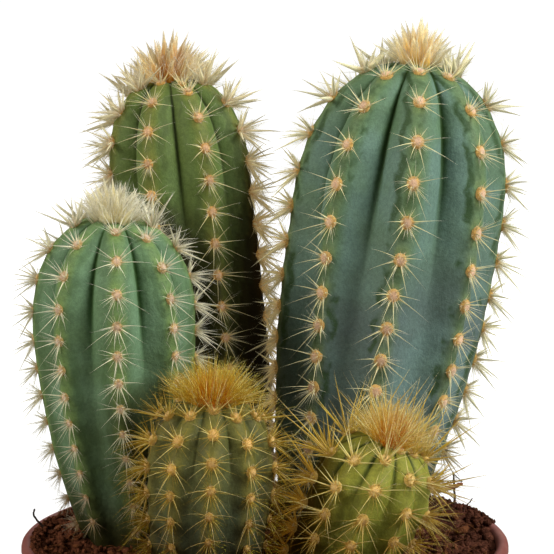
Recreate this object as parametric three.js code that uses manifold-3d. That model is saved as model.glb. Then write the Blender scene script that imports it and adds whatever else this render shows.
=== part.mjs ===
// Five columnar cacti growing together in one round plastic nursery pot, with the soil and the
// three twigs that stick out of it. Millimetres, +Z up, origin at the middle of the pot's base.
// Each stem is one closed skin: ribs round a bent axis, felt pads along the rib crests, and
// three-sided spines pulled out of the pads. A second colour, the tuft of young spines at the
// tip of each stem, is a body of its own that stands just clear of the skin.
import * as THREE from "three";
import { mergeVertices } from "three/addons/utils/BufferGeometryUtils.js";
import Module from "manifold-3d";

const wasm = await Module();
wasm.setup();

// ---- Driving dimensions, in millimetres and degrees ----

const GAP = 0.3; // left between pieces that rest on or stand in each other
const FRONT = new THREE.Vector3(0, -1, 0);

const POT = {
  height: 107,
  rimRadius: 60,
  lip: 2.6, // thickness of the rolled lip
  band: 14, // height of the thicker band under the lip
  wall: 1.5,
  floor: 2,
  baseRadius: 44,
  holeRadius: 4,
  holes: 4,
  holeCircle: 27,
  sides: 40,
};

const SOIL = {
  level: 105.2,
  heap: 3, // rise of the soil that is pushed up against the rim at the back right
  heapAt: [45, 27],
  heapWidth: 12,
  ripple: 0.7,
  sides: 32,
  rings: [12, 24, 36, 46, 52],
};

const ROOT = 18; // how far each stem reaches below the surface of the soil
const ROOT_RINGS = [2, 10, 15.5]; // depths of the rings that shape the rounded root end
const STEM_FOOT = 100; // height at which the stem axes are measured

// The plain holes for the roots: end is the radius at the bottom, as a share of the foot radius.
const PLUG = { sides: 12, above: 16, end: 0.62, room: 0.5 };

const SKIN = {
  apexRing: 2.2, // arc from the tip to the first ring of the skin
  crestShape: 1.6, // how sharply the skin falls from crest to groove
  flank: { 8: 0.55, 10: 0.62 }, // place of the flank between crest and groove, by rib count
  lastPad: 3.2, // clear height of the lowest pad above the soil
};

const PAD = { radius: 1.2, rise: 0.25, crown: 0.6, corners: 5 };

// Least distances from a spine to other stems, to its own skin, and to what else is near it.
const CLEAR = { skin: 1.3, own: 0.9, soil: 0.7, rim: 1.2, spine: 0.65 };
const SAMPLES = 9; // points tested along a spine
const SEED = 11;
const TRIES = 7; // times that a spine is turned and shortened before it is left out
const CELL = 3; // size of the cells that the placed spines are sorted into

// Spines round a pad, clockwise from straight up: bearing, lift off the skin, share of the length.
const ROSETTE = [
  { bearing: 36, lift: 46, share: 0.7 },
  { bearing: 108, lift: 24, share: 0.95 },
  { bearing: 180, lift: 38, share: 1.0 },
  { bearing: 252, lift: 26, share: 1.0 },
  { bearing: 324, lift: 38, share: 0.7 },
];

// One entry per stem. firstPads: arc from the tip to the first pad of each rib, from the rib that
// faces the front round to the right. padGap: spacing of the pads; tightening: how much closer
// they stand with each millimetre of arc, down to leastGap. notch: how far the crest of a stem
// with low, wart-like ribs dips between two pads.
const STEMS = [
  {
    name: "tall_right",
    base: [18.5, 25],
    apex: [37.9, 28, 221.5],
    bow: 2.9,
    footRadius: 15.1,
    radius: 27.1,
    dome: 39.5,
    square: 2.3,
    taper: 2.2,
    ribs: 8,
    turn: 3.3,
    grooveTop: 0.3,
    grooveFoot: 0.12,
    firstPads: [9.7, 11.2, 10.4, 12.0, 9.8, 11.6, 12.4, 13.5],
    padGap: 11.6,
    tightening: 0.045,
    leastGap: 8,
    notch: 0,
    spine: 7.8,
    tuft: { radius: 4.6, height: 2.6, spine: 7.0 },
    colour: 0x4f7a6c,
    tuftColour: 0xd2b378,
  },
  {
    name: "tall_left",
    base: [-10.5, 36],
    apex: [-24.2, 39, 216.6],
    bow: -1.0,
    footRadius: 14.5,
    radius: 19.3,
    dome: 26.4,
    square: 2.4,
    taper: 2.6,
    ribs: 8,
    turn: 24.8,
    grooveTop: 0.28,
    grooveFoot: 0.12,
    firstPads: [12.0, 9.5, 11.0, 8.6, 10.4, 12.2, 9.0, 6.4],
    padGap: 8.4,
    tightening: 0,
    leastGap: 8.4,
    notch: 0,
    spine: 8.0,
    tuft: { radius: 4.2, height: 2.4, spine: 7.5 },
    colour: 0x4e6440,
    tuftColour: 0xcf9448,
  },
  {
    name: "left",
    base: [-31.1, 8],
    apex: [-36.5, -1, 187.1],
    bow: -4.5,
    footRadius: 10.0,
    radius: 20.1,
    dome: 27.8,
    square: 2.4,
    taper: 1.7,
    ribs: 8,
    turn: 4.7,
    grooveTop: 0.3,
    grooveFoot: 0.12,
    firstPads: [8.9, 11.9, 9.6, 11.2, 8.7, 12.0, 9.9, 14.2],
    padGap: 9.2,
    tightening: 0.05,
    leastGap: 6.6,
    notch: 0,
    spine: 7.2,
    tuft: { radius: 5.0, height: 3.0, spine: 6.5 },
    colour: 0x4f8060,
    tuftColour: 0xe6dab0,
  },
  {
    name: "small_middle",
    base: [-14.2, -20],
    apex: [-12.2, -25, 147.9],
    bow: -0.4,
    footRadius: 13.2,
    radius: 16.3,
    dome: 16.8,
    square: 2.2,
    taper: 1.5,
    ribs: 10,
    turn: 3.3,
    grooveTop: 0.26,
    grooveFoot: 0.14,
    firstPads: [7.3, 10.2, 11.8, 8.0, 10.9, 7.6, 11.2, 8.4, 12.3, 10.1],
    padGap: 7.6,
    tightening: 0.03,
    leastGap: 6.6,
    notch: 0.7,
    spine: 9.2,
    tuft: { radius: 4.6, height: 2.8, spine: 9.0 },
    colour: 0x5b6c44,
    tuftColour: 0xc98a3c,
  },
  {
    name: "small_right",
    base: [15.5, -13],
    apex: [30.2, -20, 136.4],
    bow: 1.4,
    footRadius: 13.2,
    radius: 15.3,
    dome: 13.7,
    square: 2.2,
    taper: 1.5,
    ribs: 10,
    turn: -1.7,
    grooveTop: 0.26,
    grooveFoot: 0.14,
    firstPads: [9.3, 5.8, 6.6, 10.8, 7.4, 12.1, 8.2, 11.4, 16.0, 13.2],
    padGap: 8.4,
    tightening: 0.05,
    leastGap: 7,
    notch: 0.7,
    spine: 10.4,
    tuft: { radius: 3.8, height: 2.6, spine: 13.0 },
    colour: 0x6f8440,
    tuftColour: 0xd89a4a,
  },
];

// A tuft is a dome of facets, each pulled out to a spine. raise: its height above the skin.
const TUFT = { sides: 10, bands: 3, raise: 0.35 };

const SPINE_ROOT = { pad: 0.5, tuft: 0.6 }; // half thickness of a spine at its root

// Twigs: routes in millimetres, the first from its end in the soil, and a half thickness.
const TWIG_SIDES = 6;
const TWIG_HOLE = 0.6; // room round a twig in the soil
const TWIGS = {
  twig_forked: {
    routes: [
      [[46.6, 27.4, 103.6], [48.4, 28, 108.5], [48.1, 28, 113], [47.8, 28, 117.2]],
      [[44.7, 27, 113.0], [48.1, 28, 113.1], [50.4, 29, 113.9]],
    ],
    thickness: 0.55,
  },
  twig_leaning: {
    routes: [[[48.4, 22.6, 103.8], [50.1, 23.6, 108.6], [52.6, 25, 110.8]]],
    thickness: 0.4,
  },
  twig_hooked: {
    routes: [
      [[-52.6, 9, 103.2], [-54.6, 9.4, 106.4], [-56.7, 9.9, 108.5], [-58, 10, 110.1], [-57.4, 10, 111.8]],
    ],
    thickness: 0.45,
  },
};

const COLOURS = { pot: 0x8a574c, soil: 0x3b261c, twig: 0x4a2f22 };

// ---- Solids, cuts and joins ----

// A closed three.js geometry as a solid that can be joined and cut.
function solidFrom(geometry) {
  const bare = geometry.clone();
  bare.deleteAttribute("normal");
  bare.deleteAttribute("uv");
  const merged = mergeVertices(bare, 1e-4);
  return new wasm.Manifold(
    new wasm.Mesh({
      numProp: 3,
      vertProperties: new Float32Array(merged.attributes.position.array),
      triVerts: new Uint32Array(merged.index.array),
    }),
  );
}

function geometryFrom(solid) {
  const mesh = solid.getMesh();
  const geometry = new THREE.BufferGeometry();
  geometry.setAttribute("position", new THREE.BufferAttribute(mesh.vertProperties, 3));
  geometry.setIndex(new THREE.BufferAttribute(mesh.triVerts, 1));
  return geometry;
}

function meshOf(name, geometry, colour, roughness) {
  geometry.computeVertexNormals();
  const material = new THREE.MeshStandardMaterial({ color: colour, roughness, metalness: 0 });
  const mesh = new THREE.Mesh(geometry, material);
  mesh.name = name;
  return mesh;
}

// A growing list of corners and triangles. A triangle with two corners alike is left out.
class Surface {
  constructor() {
    this.points = [];
    this.faces = [];
  }

  add(point) {
    this.points.push(point);
    return this.points.length - 1;
  }

  triangle(a, b, c) {
    if (a !== b && b !== c && c !== a) this.faces.push(a, b, c);
  }

  // A facet a, b, c that is flat, or pulled out to the tip of a spine.
  facet(a, b, c, tip) {
    if (!tip) {
      this.triangle(a, b, c);
      return;
    }
    const end = this.add(tip);
    this.triangle(a, b, end);
    this.triangle(b, c, end);
    this.triangle(c, a, end);
  }

  // The strip between two columns of corners, both listed from the top down.
  strip(left, right) {
    let i = 0;
    let j = 0;
    while (i < left.length - 1 || j < right.length - 1) {
      const nextLeft = i < left.length - 1 ? left[i + 1].arc : Infinity;
      const nextRight = j < right.length - 1 ? right[j + 1].arc : Infinity;
      if (nextLeft <= nextRight) {
        this.triangle(left[i].index, left[i + 1].index, right[j].index);
        i += 1;
      } else {
        this.triangle(left[i].index, right[j + 1].index, right[j].index);
        j += 1;
      }
    }
  }

  // A closed barrel of rings with equal numbers of corners, from its top to its bottom.
  barrel(rings, top, bottom) {
    const sides = rings[0].length;
    for (let i = 0; i < sides; i++) {
      const next = (i + 1) % sides;
      this.triangle(top, rings[0][i], rings[0][next]);
      for (let k = 1; k < rings.length; k++) {
        this.triangle(rings[k - 1][i], rings[k][i], rings[k][next]);
        this.triangle(rings[k - 1][i], rings[k][next], rings[k - 1][next]);
      }
      this.triangle(rings.at(-1)[i], bottom, rings.at(-1)[next]);
    }
  }

  geometry() {
    const geometry = new THREE.BufferGeometry().setFromPoints(this.points);
    geometry.setIndex(this.faces);
    return geometry;
  }
}

// ---- Pot and soil ----

// Inner radius of the pot at height z.
function potInside(z) {
  const wallTop = POT.height - POT.band;
  if (z > wallTop + 1.5) return POT.rimRadius - POT.lip - 0.4;
  return potOutside(z) - POT.wall;
}

// Outer radius of the tapered wall below the band.
function potOutside(z) {
  const wallTop = POT.height - POT.band;
  const top = POT.rimRadius - POT.lip;
  return POT.baseRadius + ((top - POT.baseRadius) * Math.min(z, wallTop)) / wallTop;
}

function latheSolid(profile, sides) {
  const points = profile.map(([r, z]) => new THREE.Vector2(r, z));
  return solidFrom(new THREE.LatheGeometry(points, sides).rotateX(Math.PI / 2));
}

function potMesh() {
  const { height, rimRadius, lip, band, floor, baseRadius } = POT;
  const wallTop = height - band;
  const profile = [
    [0, 0],
    [baseRadius - 1.5, 0],
    [baseRadius + 0.1, 1.5],
    [potOutside(wallTop), wallTop],
    [rimRadius - 1, wallTop + 0.8],
    [rimRadius, height - 1.2],
    [rimRadius - 0.8, height],
    [rimRadius - lip + 0.6, height],
    [potInside(height), height - 1],
    [potInside(height), wallTop + 3],
    [potInside(wallTop), wallTop],
    [potInside(floor), floor],
    [0, floor],
  ];
  let pot = latheSolid(profile, POT.sides);
  for (let i = 0; i < POT.holes; i++) {
    const angle = (2 * Math.PI * (i + 0.5)) / POT.holes;
    const drill = new THREE.CylinderGeometry(POT.holeRadius, POT.holeRadius, 4 * floor, 12)
      .rotateX(Math.PI / 2)
      .translate(POT.holeCircle * Math.cos(angle), POT.holeCircle * Math.sin(angle), 0);
    pot = pot.subtract(solidFrom(drill));
  }
  return meshOf("pot", geometryFrom(pot), COLOURS.pot, 0.6);
}

function soilHeight(x, y) {
  const away = Math.hypot(x - SOIL.heapAt[0], y - SOIL.heapAt[1]);
  const heap = SOIL.heap * Math.exp(-((away / SOIL.heapWidth) ** 2));
  return SOIL.level + heap + SOIL.ripple * Math.sin(x * 0.31) * Math.cos(y * 0.27 + 1);
}

// The soil fills the pot. Its plain holes are cut by what stands in it.
function soilMesh(plugs) {
  const surface = new Surface();
  const edge = potInside(POT.height) - GAP;
  const wallTop = POT.height - POT.band;
  const bottom = POT.floor + GAP;
  const rings = [
    ...SOIL.rings.map((radius) => soilRing(surface, radius)),
    soilRing(surface, edge),
    soilRing(surface, edge, wallTop + 3 + GAP),
    soilRing(surface, potInside(wallTop) - GAP, wallTop),
    soilRing(surface, potInside(bottom) - GAP, bottom),
  ];
  const top = surface.add(new THREE.Vector3(0, 0, soilHeight(0, 0)));
  const under = surface.add(new THREE.Vector3(0, 0, bottom));
  surface.barrel(rings, top, under);
  let soil = solidFrom(surface.geometry());
  for (const plug of plugs) soil = soil.subtract(plug);
  return meshOf("soil", geometryFrom(soil), COLOURS.soil, 0.95);
}

// A ring of the soil's skin, at height z or, without one, on its upper surface.
function soilRing(surface, radius, z) {
  return Array.from({ length: SOIL.sides }, (_, i) => {
    const angle = (2 * Math.PI * i) / SOIL.sides;
    const x = radius * Math.cos(angle);
    const y = radius * Math.sin(angle);
    return surface.add(new THREE.Vector3(x, y, z ?? soilHeight(x, y)));
  });
}

// ---- Stems ----

class Stem {
  constructor(size) {
    Object.assign(this, size);
    const foot = new THREE.Vector3(...size.base, STEM_FOOT);
    const tip = new THREE.Vector3(...size.apex);
    const middle = foot.clone().lerp(tip, 0.5).add(new THREE.Vector3(size.bow, 0, 0));
    this.axis = new THREE.QuadraticBezierCurve3(foot, middle, tip);
    this.length = this.axis.getLength();
    this.outline = this.measureCrest();
  }

  // Points down the outline of a crest: q is the distance below the tip along the axis,
  // arc the distance from the tip along the crest.
  measureCrest() {
    const steps = 240;
    const outline = [{ q: 0, radius: 0, arc: 0 }];
    for (let i = 1; i <= steps; i++) {
      const q = this.length * (i / steps) ** 2;
      const radius = this.radiusAt(q);
      const last = outline.at(-1);
      outline.push({ q, radius, arc: last.arc + Math.hypot(q - last.q, radius - last.radius) });
    }
    return outline;
  }

  // Crest radius: a squarish dome, then a slow taper to the foot, then a rounded root end.
  radiusAt(q) {
    if (q <= this.dome) {
      const rise = 1 - Math.max(q, 0) / this.dome;
      return this.radius * (1 - rise ** this.square) ** (1 / this.square);
    }
    if (q <= this.length) {
      const down = (q - this.dome) / (this.length - this.dome);
      return this.radius - (this.radius - this.footRadius) * down ** this.taper;
    }
    const deep = Math.min((q - this.length) / ROOT, 1);
    return this.footRadius * Math.sqrt(1 - deep ** 2);
  }

  // Distance below the tip of the crest point at an arc. Below the foot, arc runs down the axis.
  belowTip(arc) {
    const end = this.outline.at(-1);
    if (arc >= end.arc) return this.length + arc - end.arc;
    const i = this.outline.findIndex((point) => point.arc > arc);
    const a = this.outline[i - 1];
    const b = this.outline[i];
    return a.q + ((b.q - a.q) * (arc - a.arc)) / (b.arc - a.arc);
  }

  centre(q) {
    const u = THREE.MathUtils.clamp(1 - q / this.length, 0, 1);
    const beyond = q - THREE.MathUtils.clamp(q, 0, this.length);
    return this.axis.getPointAt(u).addScaledVector(this.axis.getTangentAt(u), -beyond);
  }

  // Directions across the stem at q: out to the front and out to the right.
  across(q) {
    const along = this.axis.getTangentAt(THREE.MathUtils.clamp(1 - q / this.length, 0, 1));
    const front = FRONT.clone().addScaledVector(along, -FRONT.dot(along)).normalize();
    return { along, front, right: along.clone().cross(front) };
  }

  crestAngle(rib) {
    return THREE.MathUtils.degToRad(this.turn) + (2 * Math.PI * rib) / this.ribs;
  }

  // Share of the radius that the skin falls to at an angle: 1 on a crest, least in a groove.
  ribShare(q, angle) {
    const turns = ((angle - this.crestAngle(0)) * this.ribs) / (2 * Math.PI);
    const off = 2 * Math.abs(turns - Math.round(turns));
    const depth = THREE.MathUtils.lerp(this.grooveTop, this.grooveFoot, Math.min(q / this.length, 1));
    return 1 - depth * off ** SKIN.crestShape;
  }

  point(arc, angle) {
    const q = this.belowTip(arc);
    const { front, right } = this.across(q);
    const radius = this.radiusAt(q) * this.ribShare(q, angle);
    return this.centre(q)
      .addScaledVector(front, radius * Math.cos(angle))
      .addScaledVector(right, radius * Math.sin(angle));
  }

  // The skin's own directions at a crest: down it, to its right and out of it.
  skinFrame(arc, angle) {
    const step = 0.3;
    const down = this.point(arc + step, angle).sub(this.point(arc - step, angle)).normalize();
    const { front, right } = this.across(this.belowTip(arc));
    const side = right.clone().multiplyScalar(Math.cos(angle)).addScaledVector(front, -Math.sin(angle));
    return { down, side, out: down.clone().cross(side).normalize() };
  }

  // Distance from a point to the crests' envelope, negative inside it.
  distanceTo(point) {
    const { q, radius } = this.cylindrical(point);
    const nearest = this.outline.reduce(
      (least, p) => Math.min(least, Math.hypot(q - p.q, radius - p.radius)),
      Infinity,
    );
    return q > 0 && radius < this.radiusAt(q) ? -nearest : nearest;
  }

  // A point's distance below the tip along the axis, and its distance from the axis.
  cylindrical(point) {
    let q = this.apex[2] - point.z;
    for (let i = 0; i < 3; i++) {
      const offset = point.clone().sub(this.centre(q));
      q -= offset.dot(this.across(q).along);
    }
    return { q, radius: point.distanceTo(this.centre(q)) };
  }
}

// Arcs of the pads down one rib, as far as the soil lets them.
function padArcs(stem, rib) {
  const arcs = [];
  let arc = stem.firstPads[rib];
  while (padIsAboveSoil(stem, rib, arc)) {
    arcs.push(arc);
    arc += Math.max(stem.padGap - stem.tightening * arc, stem.leastGap);
  }
  return arcs;
}

function padIsAboveSoil(stem, rib, arc) {
  if (arc > stem.outline.at(-1).arc) return false;
  const point = stem.point(arc, stem.crestAngle(rib));
  return point.z > soilHeight(point.x, point.y) + SKIN.lastPad;
}

// ---- Spines ----

// All spines placed so far, as beads sorted into cells, so that no two spines meet.
class Thicket {
  constructor(stems) {
    this.stems = stems;
    this.cells = new Map();
  }

  static key(x, y, z) {
    return `${x},${y},${z}`;
  }

  static beads(root, tip, thickness) {
    return Array.from({ length: SAMPLES }, (_, i) => {
      const along = (i + 0.5) / SAMPLES;
      return { at: root.clone().lerp(tip, along), radius: thickness * (1 - along), along };
    });
  }

  remember(beads, owner) {
    for (const bead of beads) {
      const [x, y, z] = bead.at.toArray().map((v) => Math.floor(v / CELL));
      const key = Thicket.key(x, y, z);
      if (!this.cells.has(key)) this.cells.set(key, []);
      this.cells.get(key).push({ ...bead, owner });
    }
  }

  nearby(point) {
    const [x, y, z] = point.toArray().map((v) => Math.floor(v / CELL));
    const found = [];
    for (let i = -1; i <= 1; i++)
      for (let j = -1; j <= 1; j++)
        for (let k = -1; k <= 1; k++) found.push(...(this.cells.get(Thicket.key(x + i, y + j, z + k)) ?? []));
    return found;
  }

  meetsSpine(bead, owner) {
    return this.nearby(bead.at).some(
      (other) =>
        other.owner !== owner &&
        other.at.distanceTo(bead.at) < bead.radius + other.radius + CLEAR.spine,
    );
  }

  meetsSkin(bead, stem) {
    return this.stems.some((other) => {
      if (other !== stem) return other.distanceTo(bead.at) < CLEAR.skin;
      return bead.along > 0.4 && other.distanceTo(bead.at) < CLEAR.own;
    });
  }

  static meetsPot(bead) {
    const { x, y, z } = bead.at;
    const radius = Math.hypot(x, y);
    const overRim = radius > potInside(POT.height) - CLEAR.rim;
    const floor = overRim ? POT.height + CLEAR.rim : soilHeight(x, y) + CLEAR.soil;
    return z < floor;
  }

  isFree(beads, owner, stem) {
    return !beads.some(
      (bead) => Thicket.meetsPot(bead) || this.meetsSpine(bead, owner) || this.meetsSkin(bead, stem),
    );
  }
}

const random = (least, most) => THREE.MathUtils.lerp(least, most, THREE.MathUtils.seededRandom());

// The tip of a new spine from a root, turned and shortened until it is free, or null.
function growSpine(thicket, { root, owner, stem, length, thickness }, direction) {
  for (let attempt = 0; attempt < TRIES; attempt++) {
    const reach = length * random(0.88, 1.1) * (1 - 0.08 * attempt);
    const tip = root.clone().addScaledVector(direction(attempt), reach);
    const beads = Thicket.beads(root, tip, thickness);
    if (thicket.isFree(beads, owner, stem)) {
      thicket.remember(beads, owner);
      return tip;
    }
  }
  return null;
}

// Bearing of a corner of a pad, clockwise from straight up.
function padBearing(corner) {
  return (2 * Math.PI * corner) / PAD.corners;
}

// One felt pad: a low five-sided dome on a crest, with a spine pulled out of each of its facets.
function addPad(surface, stem, thicket, rib, arc) {
  const angle = stem.crestAngle(rib);
  const frame = stem.skinFrame(arc, angle);
  const radius = stem.radiusAt(stem.belowTip(arc));
  const ring = Array.from({ length: PAD.corners }, (_, i) => {
    const turn = (PAD.radius * Math.sin(padBearing(i))) / radius;
    const point = stem.point(arc - PAD.radius * Math.cos(padBearing(i)), angle + turn);
    return surface.add(point.addScaledVector(frame.out, PAD.rise));
  });
  const top = stem.point(arc, angle).addScaledVector(frame.out, PAD.crown);
  const centre = surface.add(top);
  const owner = Symbol("pad");
  ROSETTE.forEach((spine, i) => {
    const next = (i + 1) % PAD.corners;
    const root = top.clone().add(surface.points[ring[i]]).add(surface.points[ring[next]]).divideScalar(3);
    const grown = { root, owner, stem, length: stem.spine * spine.share, thickness: SPINE_ROOT.pad };
    const tip = growSpine(thicket, grown, (attempt) => spineDirection(frame, spine, attempt));
    surface.facet(centre, ring[next], ring[i], tip);
  });
  return ring;
}

function spineDirection({ down, side, out }, spine, attempt) {
  const bearing = THREE.MathUtils.degToRad(spine.bearing + random(-14, 14));
  const lift = THREE.MathUtils.degToRad(spine.lift + random(-6, 6) + 3 * attempt);
  return new THREE.Vector3()
    .addScaledVector(down, -Math.cos(bearing) * Math.cos(lift))
    .addScaledVector(side, Math.sin(bearing) * Math.cos(lift))
    .addScaledVector(out, Math.sin(lift));
}

// ---- Stem skins ----

// Corners down a crest, split in two round each pad: a left and a right column.
function crestColumns(surface, stem, thicket, rib, topCorner, rootCorners) {
  const angle = stem.crestAngle(rib);
  const left = [topCorner];
  const right = [topCorner];
  const both = (corner) => {
    surface.triangle(left.at(-1).index, corner.index, right.at(-1).index);
    left.push(corner);
    right.push(corner);
  };
  let last = null;
  for (const arc of padArcs(stem, rib)) {
    if (last !== null && stem.notch > 0) both(notchCorner(surface, stem, angle, (last + arc) / 2));
    const ring = addPad(surface, stem, thicket, rib, arc);
    const at = (i) => ({ index: ring[i], arc: arc - PAD.radius * Math.cos(padBearing(i)) });
    both(at(0));
    right.push(at(1), at(2));
    left.push(at(4), at(3));
    last = arc;
  }
  rootCorners.forEach(both);
  return { left, right };
}

function notchCorner(surface, stem, angle, arc) {
  const { out } = stem.skinFrame(arc, angle);
  return { index: surface.add(stem.point(arc, angle).addScaledVector(out, -stem.notch)), arc };
}

// Corners down a flank, level with the pads of its rib. Where the rib is still too narrow for
// them, the flank runs down the groove beside it.
function flankColumn(surface, stem, rib, side, groove, rootCorners) {
  const offset = (side * SKIN.flank[stem.ribs] * Math.PI) / stem.ribs;
  const wide = padArcs(stem, rib).filter(
    (arc) => Math.abs(offset) * stem.radiusAt(stem.belowTip(arc)) > PAD.radius + 0.7,
  );
  const corners = wide.map((arc) => ({
    index: surface.add(stem.point(arc, stem.crestAngle(rib) + offset)),
    arc,
  }));
  const above = groove.filter((corner) => corner.arc < wide[0]);
  return [...above, ...corners, ...rootCorners];
}

// Corners down the groove to the right of a rib.
function grooveColumn(surface, stem, rib, topCorner, rootCorners) {
  const angle = stem.crestAngle(rib + 0.5);
  const column = [topCorner];
  const end = rootCorners[0].arc - stem.padGap / 2;
  const start = SKIN.apexRing + stem.padGap / 2;
  const steps = Math.round((end - start) / stem.padGap);
  for (let i = 0; i <= steps; i++) {
    const arc = THREE.MathUtils.lerp(start, end, i / steps);
    column.push({ index: surface.add(stem.point(arc, angle)), arc });
  }
  return [...column, ...rootCorners];
}

// The corners of one column where it meets the ring round the tip and the rings of the root.
function endCorners(surface, stem, angle) {
  const foot = stem.outline.at(-1).arc;
  const corner = (arc) => ({ index: surface.add(stem.point(arc, angle)), arc });
  return { top: corner(SKIN.apexRing), root: ROOT_RINGS.map((deep) => corner(foot + deep)) };
}

function stemMesh(stem, thicket) {
  const surface = new Surface();
  const ribs = Array.from({ length: stem.ribs }, (_, rib) => {
    const crest = endCorners(surface, stem, stem.crestAngle(rib));
    const groove = endCorners(surface, stem, stem.crestAngle(rib + 0.5));
    return {
      crest,
      groove,
      ...crestColumns(surface, stem, thicket, rib, crest.top, crest.root),
      valley: grooveColumn(surface, stem, rib, groove.top, groove.root),
    };
  });
  const tip = surface.add(stem.centre(0));
  const root = surface.add(stem.centre(stem.length + ROOT));
  ribs.forEach((rib, i) => {
    const next = (i + 1) % ribs.length;
    const here = flankColumn(surface, stem, i, 1, rib.valley, rib.crest.root);
    const there = flankColumn(surface, stem, next, -1, rib.valley, ribs[next].crest.root);
    surface.strip(rib.right, here);
    surface.strip(here, rib.valley);
    surface.strip(rib.valley, there);
    surface.strip(there, ribs[next].left);
    closeEnds(surface, [rib.crest, rib.groove, ribs[next].crest], tip, root);
  });
  return meshOf(`stem_${stem.name}`, surface.geometry(), stem.colour, 0.55);
}

// The facets between neighbouring columns at the very tip and at the root end.
function closeEnds(surface, ends, tip, root) {
  for (let i = 1; i < ends.length; i++) {
    surface.triangle(tip, ends[i - 1].top.index, ends[i].top.index);
    surface.triangle(ends[i - 1].root.at(-1).index, root, ends[i].root.at(-1).index);
  }
}

// A plain round plug a little wider than a stem's root, which leaves the hole that it stands in.
function rootPlug(stem) {
  const surface = new Surface();
  const round = 1 / Math.cos(Math.PI / PLUG.sides);
  const ring = (q, radius) => stemRing(surface, stem, q, radius * round + PLUG.room);
  const [shallow, middle] = ROOT_RINGS;
  const depths = [-PLUG.above, shallow, middle].map((deep) => stem.length + deep);
  const end = stem.length + ROOT + GAP;
  const rings = depths.map((q) => ring(q, stem.radiusAt(q)));
  rings.push(ring(end, PLUG.end * stem.footRadius));
  const top = surface.add(stem.centre(depths[0]));
  const bottom = surface.add(stem.centre(end));
  surface.barrel(rings, top, bottom);
  return solidFrom(surface.geometry());
}

function stemRing(surface, stem, q, radius) {
  const { front, right } = stem.across(q);
  return Array.from({ length: PLUG.sides }, (_, i) => {
    const angle = (2 * Math.PI * i) / PLUG.sides;
    const point = stem.centre(q)
      .addScaledVector(front, radius * Math.cos(angle))
      .addScaledVector(right, radius * Math.sin(angle));
    return surface.add(point);
  });
}

// ---- Tufts at the tips ----

// A low dome just above the tip of a stem, with a spine pulled out of every facet of its top.
function tuftMesh(stem, thicket) {
  const surface = new Surface();
  const { radius, height } = stem.tuft;
  const { along, front, right } = stem.across(0);
  const base = stem.centre(-TUFT.raise);
  const place = (share, angle, up) =>
    base.clone()
      .addScaledVector(front, radius * share * Math.cos(angle))
      .addScaledVector(right, radius * share * Math.sin(angle))
      .addScaledVector(along, up);
  const rings = Array.from({ length: TUFT.bands }, (_, band) => {
    const rise = (Math.PI / 2) * (band / TUFT.bands);
    return Array.from({ length: TUFT.sides }, (__, i) => {
      const angle = (2 * Math.PI * (i + band / 2)) / TUFT.sides;
      return surface.add(place(Math.cos(rise), angle, height * Math.sin(rise)));
    });
  });
  const grow = { surface, stem, thicket, heart: place(0, 0, -height), owner: Symbol("tuft") };
  const top = surface.add(place(0, 0, height));
  const under = surface.add(base);
  for (let i = 0; i < TUFT.sides; i++) {
    const next = (i + 1) % TUFT.sides;
    surface.triangle(under, rings[0][next], rings[0][i]);
    for (let band = 1; band < TUFT.bands; band++) {
      tuftFacet(grow, rings[band - 1][i], rings[band - 1][next], rings[band][i]);
      tuftFacet(grow, rings[band - 1][next], rings[band][next], rings[band][i]);
    }
    tuftFacet(grow, rings.at(-1)[i], rings.at(-1)[next], top);
  }
  return meshOf(`tuft_${stem.name}`, surface.geometry(), stem.tuftColour, 0.7);
}

// A facet of the dome, pulled out along a line from the dome's heart through the facet.
function tuftFacet({ surface, stem, thicket, heart, owner }, a, b, c) {
  const corners = [a, b, c].map((i) => surface.points[i]);
  const root = corners[0].clone().add(corners[1]).add(corners[2]).divideScalar(3);
  const tip = growSpine(
    thicket,
    { root, owner, stem, length: stem.tuft.spine, thickness: SPINE_ROOT.tuft },
    () => {
      const shares = [random(0.6, 1.4), random(0.6, 1.4), random(0.6, 1.4)];
      const total = shares[0] + shares[1] + shares[2];
      const aim = new THREE.Vector3();
      corners.forEach((corner, i) => aim.addScaledVector(corner, shares[i] / total));
      return aim.sub(heart).normalize();
    },
  );
  surface.facet(a, b, c, tip);
}

// ---- Twigs ----

function rod(route, thickness) {
  const path = new THREE.CatmullRomCurve3(route.map((point) => new THREE.Vector3(...point)));
  const section = new THREE.Shape();
  for (let i = 0; i < TWIG_SIDES; i++) {
    const angle = (2 * Math.PI * i) / TWIG_SIDES;
    const corner = [thickness * Math.cos(angle), 0.7 * thickness * Math.sin(angle)];
    if (i === 0) section.moveTo(...corner);
    else section.lineTo(...corner);
  }
  const steps = 3 * (route.length - 1);
  return solidFrom(new THREE.ExtrudeGeometry(section, { steps, extrudePath: path, bevelEnabled: false }));
}

function twigSolid({ routes, thickness }) {
  return routes.map((route) => rod(route, thickness)).reduce((all, one) => all.add(one));
}

// A plain round plug along the first stretch of a twig, which leaves the hole that it stands in.
function twigPlug({ routes, thickness }) {
  const [end, start] = routes[0].map((point) => new THREE.Vector3(...point));
  const along = start.clone().sub(end);
  const length = along.length() + 2 * TWIG_HOLE;
  const radius = thickness + TWIG_HOLE;
  const turn = new THREE.Quaternion().setFromUnitVectors(THREE.Object3D.DEFAULT_UP, along.normalize());
  const plug = new THREE.CylinderGeometry(radius, radius, length, TWIG_SIDES)
    .applyQuaternion(turn)
    .translate(...end.lerp(start, 0.5).toArray());
  return solidFrom(plug);
}

// ---- Assembly ----

const plant = new THREE.Group();
const stems = STEMS.map((size) => new Stem(size));
const thicket = new Thicket(stems);
THREE.MathUtils.seededRandom(SEED);

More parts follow.
